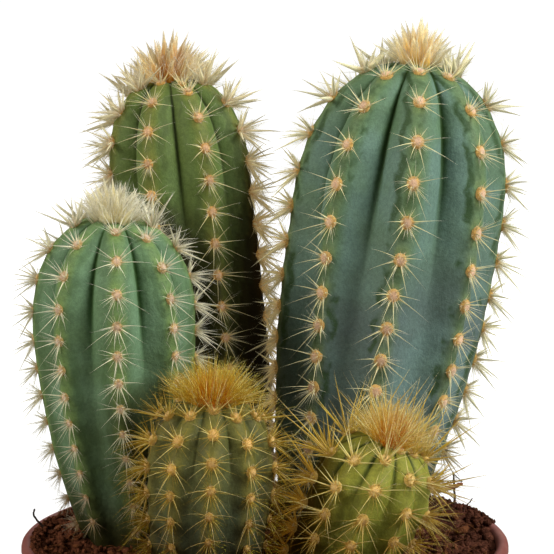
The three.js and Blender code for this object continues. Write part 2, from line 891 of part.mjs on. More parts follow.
for (const { routes, thickness } of Object.values(TWIGS)) {
  for (const route of routes) {
    const [start, end] = [route[0], route.at(-1)].map((point) => new THREE.Vector3(...point));
    thicket.remember(Thicket.beads(start, end, 2 * thickness), Symbol("twig"));
  }
}
const tufts = stems.map((stem) => tuftMesh(stem, thicket));
const skins = stems.map((stem) => stemMesh(stem, thicket));
const twigs = Object.entries(TWIGS).map(([name, twig]) =>
  meshOf(name, geometryFrom(twigSolid(twig)), COLOURS.twig, 0.9),
);
const plugs = [...stems.map(rootPlug), ...Object.values(TWIGS).map(twigPlug)];

plant.add(potMesh(), soilMesh(plugs), ...skins, ...tufts, ...twigs);

export default plant;
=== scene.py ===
"""Dresses a clump of five potted columnar cacti: skins, felt pads, spines, tufts, pot and soil.

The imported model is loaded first, and everything here is built round it in the same frame, in
metres. Each operator makes one piece or one group of like pieces, and the stage has its own.
"""

import bmesh
import bpy
import numpy as np
from bpy.props import (
    CollectionProperty,
    FloatProperty,
    FloatVectorProperty,
    IntProperty,
    PointerProperty,
    StringProperty,
)
from bpy.types import Operator, Panel, PropertyGroup
from mathutils import Matrix, Vector, noise


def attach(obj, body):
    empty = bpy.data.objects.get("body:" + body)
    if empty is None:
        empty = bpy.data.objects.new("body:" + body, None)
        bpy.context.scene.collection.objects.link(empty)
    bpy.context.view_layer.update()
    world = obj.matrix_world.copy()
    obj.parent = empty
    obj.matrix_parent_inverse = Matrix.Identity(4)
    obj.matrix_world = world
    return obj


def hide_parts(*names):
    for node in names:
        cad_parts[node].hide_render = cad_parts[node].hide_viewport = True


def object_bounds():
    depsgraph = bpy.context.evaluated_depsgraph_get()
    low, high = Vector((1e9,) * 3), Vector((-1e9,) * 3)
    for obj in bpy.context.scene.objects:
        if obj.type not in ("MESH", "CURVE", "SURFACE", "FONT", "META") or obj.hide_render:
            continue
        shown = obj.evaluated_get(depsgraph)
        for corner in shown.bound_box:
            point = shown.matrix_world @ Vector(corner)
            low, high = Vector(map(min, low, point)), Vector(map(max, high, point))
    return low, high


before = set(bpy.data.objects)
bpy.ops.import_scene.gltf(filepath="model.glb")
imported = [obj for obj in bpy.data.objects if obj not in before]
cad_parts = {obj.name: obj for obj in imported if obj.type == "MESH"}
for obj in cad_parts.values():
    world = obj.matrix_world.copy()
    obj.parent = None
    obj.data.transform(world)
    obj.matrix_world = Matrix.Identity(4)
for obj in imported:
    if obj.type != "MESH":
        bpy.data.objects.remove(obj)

bl_info = {
    "name": "Potted columnar cactus clump",
    "version": (1, 0, 0),
    "blender": (4, 5, 0),
    "location": "3D View > Sidebar > Cactus clump",
    "description": "Builds five ribbed cacti in a nursery pot round their packed model",
    "category": "Object",
}

CAD_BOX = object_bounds()
MM = 0.001
BODY = "root"


# ---- Sizes and colours of the five plants ----

NAMES = ("tall_right", "tall_left", "left", "small_middle", "small_right")
# Each row holds the values of the five plants in that order, with lengths in millimetres.
PLANTS = {
    "base": ((18.5, 25), (-10.5, 36), (-31.1, 8), (-14.2, -20), (15.5, -13)),
    "apex": (
        (37.9, 28, 221.5),
        (-24.2, 39, 216.6),
        (-36.5, -1, 187.1),
        (-12.2, -25, 147.9),
        (30.2, -20, 136.4),
    ),
    "bow": (2.9, -1.0, -4.5, -0.4, 1.4),
    "foot_radius": (15.1, 14.5, 11.8, 13.2, 13.2),
    "radius": (27.1, 19.3, 20.1, 16.3, 15.3),
    "dome": (39.5, 26.4, 27.8, 16.8, 13.7),
    "square": (2.3, 2.4, 2.4, 2.2, 2.2),
    "taper": (2.2, 2.6, 1.7, 1.5, 1.5),
    "ribs": (8, 8, 8, 10, 10),
    "turn": (3.3, 24.8, 4.7, 3.3, -1.7),
    "groove_top": (0.27, 0.24, 0.25, 0.19, 0.2),
    "groove_foot": (0.12, 0.12, 0.12, 0.1, 0.11),
    "cleft": (0.03, 0.02, 0.03, 0.015, 0.025),
    # Small turns of the ribs' crests, in degrees, from the rib that faces the front. The ribs
    # that are left out have none.
    "rib_turns": ((-1.5, -2, 0, 0, 0, 0, 1, 3.2), (-1,), (0.5, 0, 0, 0, 0, 0, 0, 1), (0,), (0,)),
    # Length along the crest from the tip to the first pad of each rib, from the rib that faces
    # the front round to the right.
    "first_pads": (
        (9.7, 11.2, 10.4, 12.0, 9.8, 11.6, 13.2, 13.5),
        (12.0, 9.5, 11.0, 8.6, 10.4, 12.2, 9.0, 6.4),
        (8.9, 11.9, 9.6, 11.2, 8.7, 12.0, 9.9, 14.2),
        (7.3, 10.2, 11.8, 8.0, 10.9, 7.6, 11.2, 8.4, 12.3, 10.1),
        (9.3, 4.7, 6.6, 10.8, 7.4, 12.1, 8.2, 11.4, 16.0, 13.2),
    ),
    "pad_gap": (11.6, 8.0, 9.0, 7.3, 8.8),
    "tightening": (0.045, 0.0, 0.05, 0.03, 0.05),
    "least_gap": (8, 8.0, 6.6, 6.6, 7),
    "young_gap": (20, 3.6, 20, 20, 20),
    "notch": (0.45, 0.35, 0.35, 0.9, 1.0),
    "pad_radius": (1.6, 1.3, 1.25, 1.4, 1.5),
    "centrals": (0, 0, 0, 0, 3),
    "hairs": (22, 24, 20, 30, 22),
    "spine": (9.3, 9.2, 9, 9.2, 12.4),
    "spine_radius": (0.115, 0.105, 0.095, 0.085, 0.1),
    "hair_reach": (0.5, 0.55, 0.55, 0.6, 0.55),
    "old_spines": (0.95, 0.95, 0.55, 0.95, 1.0),
    "old_pads": (1.0, 0.8, 0.55, 0.65, 0.85),
    "wedge": (0.8, 0.85, 0.45, 0.12, 0.25),
    "droop": (0.08, 0.08, 0.1, 0.25, 0.1),
    "tuft_radius": (4.8, 5.0, 5.0, 6.2, 4.8),
    "tuft_height": (5.6, 4.8, 4.2, 2.0, 2.6),
    "tongues": (44, 60, 34, 0, 16),
    "tongue": (8.6, 9.4, 7.8, 7.0, 9.8),
    "tongue_width": (1.35, 1.2, 1.5, 1.0, 1.0),
    "tongue_core": (0.8, 0.85, 0.6, 0.4, 0.5),
    "tongue_hairs": (60, 36, 50, 20, 40),
    "gather": (0.7, 0.75, 0.55, 0.5, 0.6),
    "tuft_spread": (1.0, 1.15, 0.95, 1.3, 1.15),
    "edge_length": (0.85, 0.85, 0.8, 1.0, 1.0),
    "bristles": (900, 900, 1000, 1150, 1000),
    "bristle": (7.4, 7.6, 6.8, 8.6, 9.2),
    "haze": (40, 44, 14, 0, 0),
    # This row and the next set how strong the painted shade is beside a neighbour and near the
    # soil, where the tint also stands for some dust.
    "dusk_side": (0.0, 1.0, 0.6, 0.8, 1.0),
    "dusk_foot": (0.9, 0.9, 0.95, 0.75, 0.2),
    "bristle_radius": (0.055, 0.06, 0.055, 0.085, 0.075),
    "tuft_lean": (-0.06, 0.2, 0.02, 0.02, -0.12),
    # Colour of that painted shade, which near the soil also stands for some dust.
    "dusk": ("7c5c34", "745022", "8a642c", "6c4a18", "b08a48"),
    "spikes": (4, 10, 8, 70, 36),
    "spike": (8.4, 9.0, 9.4, 10.4, 16.0),
    "upper": ("5f7a5a", "5e7036", "627e58", "585624", "8e8e34"),
    "lower": ("5c6c68", "4e5a2e", "4c623c", "50583a", "787c2a"),
    # Colour of the painted shade in the grooves.
    "groove": ("2f4a18", "303a12", "2c4c14", "303c14", "37440c"),
    "tint": ("72824c", "7a7c38", "78904e", "787030", "8e8c34"),
    "bloom": ("6e8884", "6a8050", "7c9c7c", "6a7048", "84903e"),
    # Colour where the wax is rubbed off; along the line beside the crest it also stands for painted
    # shade of the fold there.
    "worn": ("334a26", "3a4420", "3c5428", "4a4826", "4c5220"),
    "spine_colour": ("d2c690", "ccbc84", "d4cca8", "c8b064", "d6c67a"),
    "spine_tip": ("dad2ac", "d2c6a0", "d2caac", "a07a1e", "c0a03c"),
    "wool": ("e2c888", "dcbc74", "d2caa2", "a0720e", "c49226"),
    "heart": ("d8ae54", "b87418", "dacc94", "a85204", "b86006"),
    "felt": ("d4ae8e", "d2aa84", "d0b092", "d6ac68", "e4c07c"),
    "felt_rim": ("c49c58", "c2944e", "bc9c62", "b48e42", "c4a050"),
    "bloom_amount": (0.55, 0.35, 0.5, 0.35, 0.25),
    # Strength of the rubbed-off wax, which beside the crests also holds painted shade.
    "worn_amount": (0.9, 0.4, 0.3, 0.35, 0.3),
    # The three crease rows set how strong, where across a rib and how high up the painted shade of
    # the grooves goes.
    "crease_amount": (0.9, 0.85, 0.85, 0.7, 0.95),
    "crease_place": (0.8, 0.86, 0.82, 0.8, 0.72),
    "crease_end": (0.55, 0.66, 0.52, 0.7, 0.6),
}
MOST_RIBS = 10
SKIN_SLOTS = {
    "tall_right": "skin_blue_green",
    "tall_left": "skin_olive",
    "left": "skin_green",
    "small_middle": "skin_grey_olive",
    "small_right": "skin_yellow_green",
}
SPINE_SLOTS = {
    "tall_right": "spines_straw",
    "tall_left": "spines_orange",
    "left": "wool_cream",
    "small_middle": "spines_orange",
    "small_right": "spines_orange",
}

FOOT = 100 * MM  # height at which the stem axes are measured
ROOT = 18 * MM  # length of the rounded root end
CREST_SHAPE = 1.6  # how sharply the skin falls from crest to groove
ROW = 1.15 * MM  # spacing of the rows of a skin
FIRST_ROW = 0.8 * MM  # distance of the first of them from the tip
SUNK = 8 * MM  # how far a skin goes on below FOOT
RIB_PLACES = (-1, -0.95, -0.87, -0.74, -0.58, -0.42, -0.27, -0.13)
LAST_PAD = 3.2 * MM  # least height of a pad above the soil
CLEAR_OF_STEMS = 0.4 * MM  # how far every spine stays off the other stems' crests
CLEAR_OF_SOIL = 0.3 * MM
CLEAR_OF_RIM = 0.8 * MM
OVER_BOX = 1.5 * MM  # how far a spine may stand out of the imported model's box
SHORTENINGS = 6  # how often a spine in the way of something is tried
SHORTER = 0.78  # share of its length that is left each time
WOOL_RADIUS = 0.05 * MM
MATTED = 0.12  # least share of matting at which a spine has a wedge of wool
HEAP = 45 * MM, 27 * MM  # where the soil is heaped, at the back right
PIT = -53.5 * MM, -3 * MM  # where it is hollow, at the left rim
# The spines of a pad: the fan that they are spread over, and how far they, the ones that stand
# up and the hairs rise off the skin.
FAN = np.radians(300)
FAN_LIFTS = np.radians(24), np.radians(64)
UPRIGHT_LIFTS = np.radians(55), np.radians(78)
HAIR_LIFTS = np.radians(10), np.radians(80)
GOLDEN_TURN = 2.39996  # radians between neighbours in a sunflower's head


def linear(code):
    """The linear colour of a hex code."""
    parts = np.array([int(code[i : i + 2], 16) / 255 for i in (0, 2, 4)])
    return tuple(np.where(parts <= 0.04045, parts / 12.92, ((parts + 0.055) / 1.055) ** 2.4))


def opaque(colour):
    return (*colour[:3], 1.0)


# ---- Sizes and colours that a user may change ----


def length_of(name, description, default, **more):
    return FloatProperty(
        name=name, description=description, default=default * MM, precision=5, unit="LENGTH", **more
    )


def colour_of(name, description, code):
    return FloatVectorProperty(
        name=name,
        description=description,
        default=linear(code),
        size=3,
        min=0,
        max=1,
        subtype="COLOR",
    )


def point_of(name, description, size):
    return FloatVectorProperty(
        name=name, description=description, size=size, unit="LENGTH", precision=5
    )


def per_rib(name, description, kind):
    return FloatVectorProperty(name=name, description=description, size=MOST_RIBS, unit=kind)


def share_of(name, description, default):
    return FloatProperty(name=name, description=description, default=default, soft_max=1)


def power_of(name, default):
    described = f"Power of the {name.lower()} light"
    return FloatProperty(name=name, description=described, default=default, unit="POWER")


def count_of(name, description, default):
    return IntProperty(name=name, description=description, default=default, min=0)


class CACTUS_PG_plant(PropertyGroup):
    """Sizes and colours of one plant"""

    name: StringProperty(name="Name", description="Name of the plant", default="plant")
    base: point_of("Base", "Where the stem leaves the soil", 2)
    apex: point_of("Tip", "The highest point of the skin", 3)
    bow: length_of("Bow", "How far the middle of the stem is pushed to the right", 0)
    foot_radius: length_of("Foot radius", "Radius of the stem at the soil", 12)
    radius: length_of("Radius", "Greatest radius over the rib crests", 20)
    dome: length_of("Dome", "Height of the domed top", 25)
    square: FloatProperty(name="Squareness", description="How square the dome is", default=2.3)
    taper: FloatProperty(name="Taper", description="How late the stem narrows", default=1.8)
    ribs: IntProperty(name="Ribs", description="Number of ribs", default=8, min=4, max=MOST_RIBS)
    turn: FloatProperty(
        name="Turn", description="Turn of the first rib from the front", default=0, unit="ROTATION"
    )
    groove_top: share_of("Groove at top", "Depth of the grooves, as a share of the radius", 0.3)
    groove_foot: share_of("Groove at foot", "Depth of the grooves at the foot", 0.12)
    cleft: share_of("Cleft", "Extra depth of the crease in each groove, near the tip", 0.06)
    first_pads: per_rib("First pads", "Crest length to each rib's first pad", "LENGTH")
    rib_turns: per_rib("Rib turns", "Small turn of each rib", "ROTATION")
    pad_gap: length_of("Pad gap", "Spacing of the pads", 8)
    tightening: share_of("Tightening", "How much closer the pads stand lower down", 0)
    least_gap: length_of("Least pad gap", "Least spacing of the pads", 7)
    young_gap: length_of("Young pad gap", "Spacing of the pads that grow out of the tip", 3)
    notch: length_of("Notch", "How far a crest dips between two pads", 0.3)
    pad_radius: length_of("Pad radius", "Radius of the felt pads", 1.5)
    mains: count_of("Main spines", "Long spines round a pad", 8)
    centrals: count_of("Central spines", "Spines that stand up from a pad", 2)
    hairs: count_of("Hairs", "Fine hairs round a pad", 16)
    haze: count_of("Haze", "Extra hairs round a pad of a flank", 20)
    # Painted shade beside a neighbour and near the soil, where it also stands for some dust.
    dusk_side: share_of("Dusk at side", "How strong the dusk is where a neighbour stands", 1)
    dusk_foot: share_of("Dusk at foot", "How strong the dusk is near the soil", 0.9)
    spine: length_of("Spine", "Length of a spine", 7)
    spine_radius: length_of("Spine radius", "Radius of a spine at its root", 0.2)
    hair_reach: share_of("Hair reach", "Length of the hairs, as a share of a spine", 0.5)
    old_spines: share_of("Old spines", "Length of the spines at the foot, as a share", 1.0)
    old_pads: share_of("Old pads", "Size of the pads at the foot, as a share", 1.0)
    wedge: length_of("Wedge", "Half thickness of the matted wool on the first pads' spines", 0.5)
    droop: share_of("Droop", "How far spines bend down", 0.1)
    tuft_radius: length_of("Tuft radius", "Radius of the woolly tip", 4)
    tuft_height: length_of("Tuft height", "Height of the woolly tip", 2.5)
    tongues: count_of("Tongues", "Tongues of wool in the tip", 30)
    tongue: length_of("Tongue", "Length of a tongue of wool", 8)
    tongue_width: length_of("Tongue width", "Radius of a tongue at its root", 1)
    tongue_core: share_of("Tongue core", "How much of a tongue is matted", 0.5)
    tongue_hairs: count_of("Tongue hairs", "Hairs in a tongue", 30)
    gather: share_of("Gather", "How closely the hairs of a tongue meet at its tip", 0.8)
    tuft_spread: share_of("Tuft spread", "How far the outer tongues lean out, in radians", 1)
    edge_length: share_of("Edge length", "Length at the tuft's edge, as a share", 0.8)
    bristles: count_of("Bristles", "Fine bristles in the tuft", 600)
    bristle: length_of("Bristle length", "Length of a fine bristle", 7)
    bristle_radius: length_of("Bristle radius", "Radius of a fine bristle", 0.06)
    tuft_lean: share_of("Tuft lean", "How far the tuft leans to the right, in radians", 0)
    spikes: count_of("Spikes", "Long single spines in the tip", 8)
    spike: length_of("Spike", "Length of those spines", 9)
    upper: colour_of("Upper skin", "Skin of the upper half", "667d68")
    lower: colour_of("Lower skin", "Skin of the lower half", "657976")
    # Painted shade in the grooves.
    groove: colour_of("Groove", "Skin in the grooves", "2f4218")
    tint: colour_of("Pad tint", "Skin round the pads", "7c8a55")
    bloom: colour_of("Bloom", "Pale wax on the skin", "7c9490")
    # Skin where the wax has rubbed off, and along the line beside the crest painted shade of the
    # fold.
    worn: colour_of("Worn skin", "Skin where the wax has rubbed off", "454a22")
    # Colour of the painted shade beside a neighbour and near the soil, where it also stands for
    # some dust.
    dusk: colour_of("Dusk", "Tint of what stands close to the soil or to a neighbour", "a07848")
    spine_colour: colour_of("Spine", "Spines along their middle", "d6cfb2")
    spine_tip: colour_of("Spine tip", "Spines at their tips", "c9bd98")
    wool: colour_of("Wool", "Fine hairs", "e8dccb")
    heart: colour_of("Heart", "Young spines and wool in the middle of the tip", "c47a26")
    felt: colour_of("Felt", "Middle of the pads", "d4b092")
    felt_rim: colour_of("Felt rim", "Rim of the pads", "cba850")
    bloom_amount: share_of("Bloom amount", "How much pale wax there is", 0.4)
    # Strength of the rubbed-off wax and of the painted shade beside the crests.
    worn_amount: share_of("Worn amount", "How much of the wax has rubbed off", 0.5)
    # The painted shade of the grooves.
    crease_amount: share_of("Crease amount", "How dark the grooves are", 0.9)
    crease_place: share_of("Crease place", "Where the dark of a groove begins across a rib", 0.8)
    crease_end: share_of("Crease end", "Height, as a share, at which the dark fades out", 0.5)


class CACTUS_PG_pot(PropertyGroup):
    """Sizes and colours of the pot"""

    height: length_of("Height", "Height of the pot", 107)
    rim_radius: length_of("Rim radius", "Outer radius of the lip", 60)
    lip: length_of("Lip", "Thickness of the rolled lip", 2.6)
    band: length_of("Band", "Height of the thicker band under the lip", 14)
    wall: length_of("Wall", "Thickness of the wall", 1.5)
    floor: length_of("Floor", "Thickness of the floor", 2)
    base_radius: length_of("Base radius", "Outer radius of the foot", 44)
    hole_radius: length_of("Hole radius", "Radius of a drain hole", 4)
    hole_circle: length_of("Hole circle", "Radius on which the drain holes lie", 27)
    holes: count_of("Holes", "Number of drain holes", 4)
    plastic: colour_of("Plastic", "Plastic of the pot", "7c443c")
    dust: colour_of("Dust", "Dried soil and lime on the plastic", "946458")


class CACTUS_PG_soil(PropertyGroup):
    """Sizes and colours of the soil and the twigs"""

    level: length_of("Level", "Height of the soil", 105.2)
    heap: length_of("Heap", "Rise of the soil at the back right", 3)
    heap_width: length_of("Heap width", "Width of that rise", 12)
    crumbs: count_of("Crumbs", "Number of loose crumbs", 3400)
    fibres: count_of("Fibres", "Number of loose fibres", 420)
    chips: count_of("Chips", "Number of bark chips", 190)
    spilled: count_of("Spilled", "Number of crumbs that lie on the lip at the back right", 620)
    banked: count_of("Banked", "Number of crumbs that lie against the lip at the left", 700)
    peat: colour_of("Peat", "Peat that has begun to dry", "663c2a")
    wet_peat: colour_of("Wet peat", "Moist peat", "543226")
    fibre: colour_of("Fibre", "Fibres and chips in the peat", "8a5634")
    bark: colour_of("Bark", "Bark of the twigs", "3e281e")


class CACTUS_PG_stage(PropertyGroup):
    """The floor, the lights and the camera"""

    distance: FloatProperty(
        name="Camera distance", description="From camera to target", default=0.8, unit="LENGTH"
    )
    tilt: FloatProperty(
        name="Camera tilt",
        description="Angle below the horizon",
        default=np.radians(10),
        unit="ROTATION",
    )
    lens: FloatProperty(name="Lens", description="Focal length", default=213.65, unit="CAMERA")
    key: power_of("Key", 17)
    fill: power_of("Fill", 10)
    back: power_of("Back", 7)
    sky: share_of("Sky", "Strength of the light from all round", 0.12)
    floor: colour_of("Floor", "Colour of the floor", "a6a6a4")


class CACTUS_PG_clump(PropertyGroup):
    """Everything that a user may change"""

    plants: CollectionProperty(type=CACTUS_PG_plant, name="Plants", description="The five plants")
    pot: PointerProperty(type=CACTUS_PG_pot, name="Pot", description="The pot")
    soil: PointerProperty(type=CACTUS_PG_soil, name="Soil", description="The soil and twigs")
    stage: PointerProperty(type=CACTUS_PG_stage, name="Stage", description="Floor and lights")


def plants_of(clump):
    """The plants, laid out from the table the first time."""
    if not clump.plants:
        for index, name in enumerate(NAMES):
            plant = clump.plants.add()
            plant.name = name
            for field, values in PLANTS.items():
                setattr(plant, field, stored(plant.bl_rna.properties[field], values[index]))
    return clump.plants


def stored(setting, value):
    """A value of the table as its setting keeps it: metres, radians or a linear colour."""
    if setting.subtype == "COLOR":
        return linear(value)
    scale = {"LENGTH": MM, "ROTATION": np.radians(1)}.get(setting.unit, 1)
    if getattr(setting, "is_array", False):
        padded = [*value, *[0] * (setting.array_length - len(value))]
        return [number * scale for number in padded]
    return value * scale


# ---- Small helpers ----


def unit(vectors):
    return vectors / np.linalg.norm(vectors, axis=-1, keepdims=True)


def smooth(values, low, high):
    """0 below low, 1 above high, and an even rise between them."""
    share = np.clip((values - low) / (high - low), 0, 1)
    return share * share * (3 - 2 * share)


def mixed(first, second, share):
    return first + (second - first) * share


def roughness_at(points, size, seed=0.0):
    """Smooth noise from -1 to 1 with bumps of that size."""
    flat = points.reshape(-1, 3) / size + seed
    values = np.array([noise.noise(Vector(point)) for point in flat])
    return values.reshape(points.shape[:-1])


def draws(seed):
    """A source of random numbers that is the same in every run."""
    return np.random.default_rng(seed)


def settings():
    return bpy.context.scene.cactus_clump


def turns_of(corners):
    return 2 * np.pi * np.arange(corners) / corners


def around(away, turn, level):
    """Points at a distance, a turn and a height about the pot's axis."""
    return np.stack(np.broadcast_arrays(away * np.cos(turn), away * np.sin(turn), level), -1)


def ring_faces(rows, columns, ends=(0, 1), climbing=False):
    """Walls, first cap and last cap of a body made of rings, as faces that look outwards.

    The rings run anticlockwise, from the top down or from the bottom up. After their points come
    the middles of the caps, the first and the last one at the places that ends gives.
    """
    grid = np.arange(rows * columns).reshape(rows, columns)
    beside = np.roll(grid, -1, axis=1)
    walls = np.stack([grid[:-1], grid[1:], beside[1:], beside[:-1]], -1).reshape(-1, 4)
    first = np.stack([grid[0], beside[0], np.full(columns, grid.size + ends[0])], -1)
    last = np.stack([beside[-1], grid[-1], np.full(columns, grid.size + ends[1])], -1)
    if climbing:
        return walls[:, [0, 3, 2, 1]], first[:, ::-1], last[:, ::-1]
    return walls, first, last


def repeated(templates, number, count):
    """The faces of one body of so many points, for a number of such bodies in a row."""
    starts = (count * np.arange(number))[:, None, None]
    return [(faces + starts).reshape(-1, faces.shape[1]) for faces in templates if len(faces)]


def placed(name, data):
    """A new object in the scene."""
    thing = bpy.data.objects.new(name, data)
    bpy.context.scene.collection.objects.link(thing)
    return thing


class Batch:
    """Points, faces and marks of many small bodies that become one piece."""

    def __init__(self):
        self.points = []
        self.faces = []
        self.marks = {}
        self.count = 0

    def add(self, points, faces, **marks):
        """faces is a list of arrays, each of faces with the same number of corners."""
        self.points.append(points)
        self.faces += [corners + self.count for corners in faces]
        for name, values in marks.items():
            self.marks.setdefault(name, []).append(np.broadcast_to(values, len(points)))
        self.count += len(points)

    def mesh(self, name):
        mesh = bpy.data.meshes.new(name)
        points = np.concatenate(self.points)
        corners = np.concatenate([faces.ravel() for faces in self.faces])
        sides = np.concatenate([np.full(len(faces), faces.shape[1]) for faces in self.faces])
        mesh.vertices.add(len(points))
        mesh.vertices.foreach_set("co", points.astype(np.float32).ravel())
        mesh.loops.add(len(corners))
        mesh.loops.foreach_set("vertex_index", corners.astype(np.int32))
        mesh.polygons.add(len(sides))
        starts = np.concatenate([[0], np.cumsum(sides)[:-1]])
        mesh.polygons.foreach_set("loop_start", starts.astype(np.int32))
        for mark, values in self.marks.items():
            attribute = mesh.attributes.new(mark, "FLOAT", "POINT")
            attribute.data.foreach_set("value", np.concatenate(values).astype(np.float32))
        mesh.update(calc_edges=True)
        mesh.shade_smooth()
        if mesh.validate():
            raise RuntimeError(f"the mesh of {name} has faulty faces")
        return mesh

    def piece(self, name, material, slot, *replaced):
        return piece_of(name, self.mesh(name), material, slot, *replaced)


def piece_of(name, mesh, material, slot, *replaced):
    """A mesh as a piece of the clump, in place of the nodes that it replaces."""
    piece = placed(name, mesh)
    mesh.materials.clear()
    mesh.materials.append(material)
    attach(piece, BODY)
    if replaced:
        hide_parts(*replaced)
    return piece


def tubes(paths, radii, sides):
    """Closed tubes along paths (n, k, 3), each ending in its last point.

    Returns their points, their faces and the place of each point along its tube.
    """
    number, steps, _ = paths.shape
    along = unit(np.gradient(paths, axis=1))
    chord = unit(paths[:, -1] - paths[:, 0])
    away = np.where(np.abs(chord[:, 2:]) < 0.8, [[0.0, 0.0, 1.0]], [[1.0, 0.0, 0.0]])
    across = unit(np.cross(along, away[:, None]))
    over = np.cross(along, across)
    turn = turns_of(sides)
    rings = paths[:, :-1, None] + radii[:, :-1, None, None] * (
        across[:, :-1, None] * np.cos(turn)[:, None] + over[:, :-1, None] * np.sin(turn)[:, None]
    )
    points = np.concatenate([rings.reshape(number, -1, 3), paths[:, -1:]], axis=1)
    walls, _, tips = ring_faces(steps - 1, sides, (1, 0), climbing=True)
    root = np.arange(sides)[None, ::-1]
    faces = repeated([walls, tips, root], number, points.shape[1])
    place = np.append(np.repeat(np.linspace(0, 1, steps)[:-1], sides), 1.0)
    return points.reshape(-1, 3), faces, np.tile(place, number)


# ---- The shape of a stem ----


class Stem:
    """The bent axis of one plant and the ribbed skin round it."""

    def __init__(self, plant):
        self.size = plant
        self.ribs = plant.ribs
        foot = np.array([*plant.base, FOOT])
        tip = np.array(plant.apex)
        middle = (foot + tip) / 2 + [plant.bow, 0, 0]
        self.controls = foot, middle, tip
        steps = np.linspace(0, 1, 401)
        walk = np.linalg.norm(np.diff(self.bezier(steps), axis=0), axis=1)
        self.steps = steps
        self.walked = np.append(0, np.cumsum(walk))
        self.length = self.walked[-1]
        self.below = self.length * np.linspace(0, 1, 241) ** 2
        radius = self.radius_at(self.below)
        arc = np.hypot(np.diff(self.below), np.diff(radius))
        self.arcs = np.append(0, np.cumsum(arc))
        self.seed = 7.3 * NAMES.index(plant.name)
        self.pads = [self.pad_arcs(rib) for rib in range(self.ribs)]

    def bezier(self, share):
        a, b, c = self.controls
        share = np.asarray(share)[..., None]
        return (1 - share) ** 2 * a + 2 * share * (1 - share) * b + share**2 * c

    def radius_at(self, below):
        """Crest radius at a distance below the tip: dome, slow taper, rounded root."""
        size = self.size
        below = np.asarray(below, float)
        rise = 1 - np.clip(below, 0, size.dome) / size.dome
        dome = size.radius * (1 - rise**size.square) ** (1 / size.square)
        down = np.clip((below - size.dome) / (self.length - size.dome), 0, 1)
        shaft = size.radius - (size.radius - size.foot_radius) * down**size.taper
        deep = np.clip((below - self.length) / ROOT, 0, 1)
        root = size.foot_radius * np.sqrt(1 - deep**2)
        return np.where(below <= size.dome, dome, np.where(below <= self.length, shaft, root))

    def below_tip(self, arc):
        """Distance below the tip of the crest point at an arc from the tip."""
        return np.interp(arc, self.arcs, self.below) + np.maximum(arc - self.arcs[-1], 0)

    def axis_at(self, below):
        """Points of the axis and the directions along, to the front and to the right."""
        below = np.asarray(below, float)
        share = np.interp(self.length - below, self.walked, self.steps)
        a, b, c = self.controls
        part = share[..., None]
        along = unit((1 - part) * (b - a) + part * (c - b))
        beyond = below - np.clip(below, 0, self.length)
        centre = self.bezier(share) - along * beyond[..., None]
        ahead = np.array([0.0, -1.0, 0.0])
        front = unit(ahead - along * (along @ ahead)[..., None])
        return centre, along, front, np.cross(along, front)

    def pad_arcs(self, rib):
        """Arcs of the pads down one rib, as far as the soil lets them."""
        size = self.size
        arcs = [size.first_pads[rib]]
        while True:
            gap = max(size.pad_gap - size.tightening * arcs[-1], size.least_gap)
            arc = arcs[-1] + gap
            point = self.skin(rib, np.array(arc), np.array(0.0), plain=True)
            if arc > self.arcs[-1] or point[2] < soil_height(*point[:2]) + LAST_PAD:
                return np.array(arcs)
            arcs.append(arc)

    def beat(self, rib, arc):
        """1 at each pad of a rib and -1 half way between two of them."""
        pads = self.pads[rib]
        steps = np.arange(len(pads))
        before = steps[0] + (arc - pads[0]) / self.size.pad_gap
        after = steps[-1] + (arc - pads[-1]) / self.size.least_gap
        phase = np.where(arc < pads[0], before, np.interp(arc, pads, steps))
        phase = np.where(arc > pads[-1], after, phase)
        return np.cos(2 * np.pi * phase)

    def skin(self, rib, arc, place, plain=False):
        """Skin points. place is -1 and 1 in the grooves beside a rib and 0 on its crest."""
        below = self.below_tip(arc)
        centre, _, front, right = self.axis_at(below)
        radius = self.radius_at(below)
        down = np.clip(below / self.length, 0, 1)
        off = np.abs(place)
        size = self.size
        worn_round = mixed(off, np.sin(np.pi / 2 * off), smooth(down, 0.15, 0.5))
        depth = mixed(size.groove_top, size.groove_foot, down) * worn_round**CREST_SHAPE
        angle = size.turn + np.pi * (2 * rib + place) / self.ribs
        out = radius * (1 - depth)
        if not plain:
            angle = angle + self.sway(rib, below) * (1 - off)
            crease = size.cleft * (1 - smooth(down, 0.06, 0.42)) * smooth(off, 0.74, 1.0)
            dip = size.notch * (1 - self.beat(rib, arc)) / 2 * (1 - off**2)
            hollow = 0.35 * MM * np.exp(-((self.pad_distance(rib, arc, place) / (1.7 * MM)) ** 2))
            out = out - radius * crease - (dip + hollow) * smooth(radius, 2 * MM, 7 * MM)
        cosine, sine = np.cos(angle)[..., None], np.sin(angle)[..., None]
        return centre + out[..., None] * (front * cosine + right * sine)

    def sway(self, rib, below):
        """Small turn by which a crest wanders from its even place."""
        return self.size.rib_turns[rib] + 0.02 * np.sin(below / (15 * MM) + 2.1 * rib + self.seed)

    def pad_distance(self, rib, arc, place):
        """Distance over the skin to the nearest pad of the rib."""
        pads = self.pads[rib]
        nearest = np.min(np.abs(np.asarray(arc)[..., None] - pads), axis=-1)
        return np.hypot(nearest, self.side(arc, place))

    def side(self, arc, place):
        """Distance over the skin from the crest."""
        return np.abs(place) * np.pi / self.ribs * self.radius_at(self.below_tip(arc))

    def crest_frame(self, rib, arc):
        """Crest points with the directions up the crest, to the right and out of the skin."""
        step = 0.3 * MM
        zero = np.zeros_like(arc)
        here = self.skin(rib, arc, zero)
        above = self.skin(rib, np.maximum(arc - 3 * step, 0), zero, plain=True)
        lower = self.skin(rib, arc + 3 * step, zero, plain=True)
        up = unit(above - lower)
        _, _, front, right = self.axis_at(self.below_tip(arc))
        angle = self.size.turn + 2 * np.pi * rib / self.ribs
        side = right * np.cos(angle) - front * np.sin(angle)
        out = unit(np.cross(side, up))
        return here, up, side, out

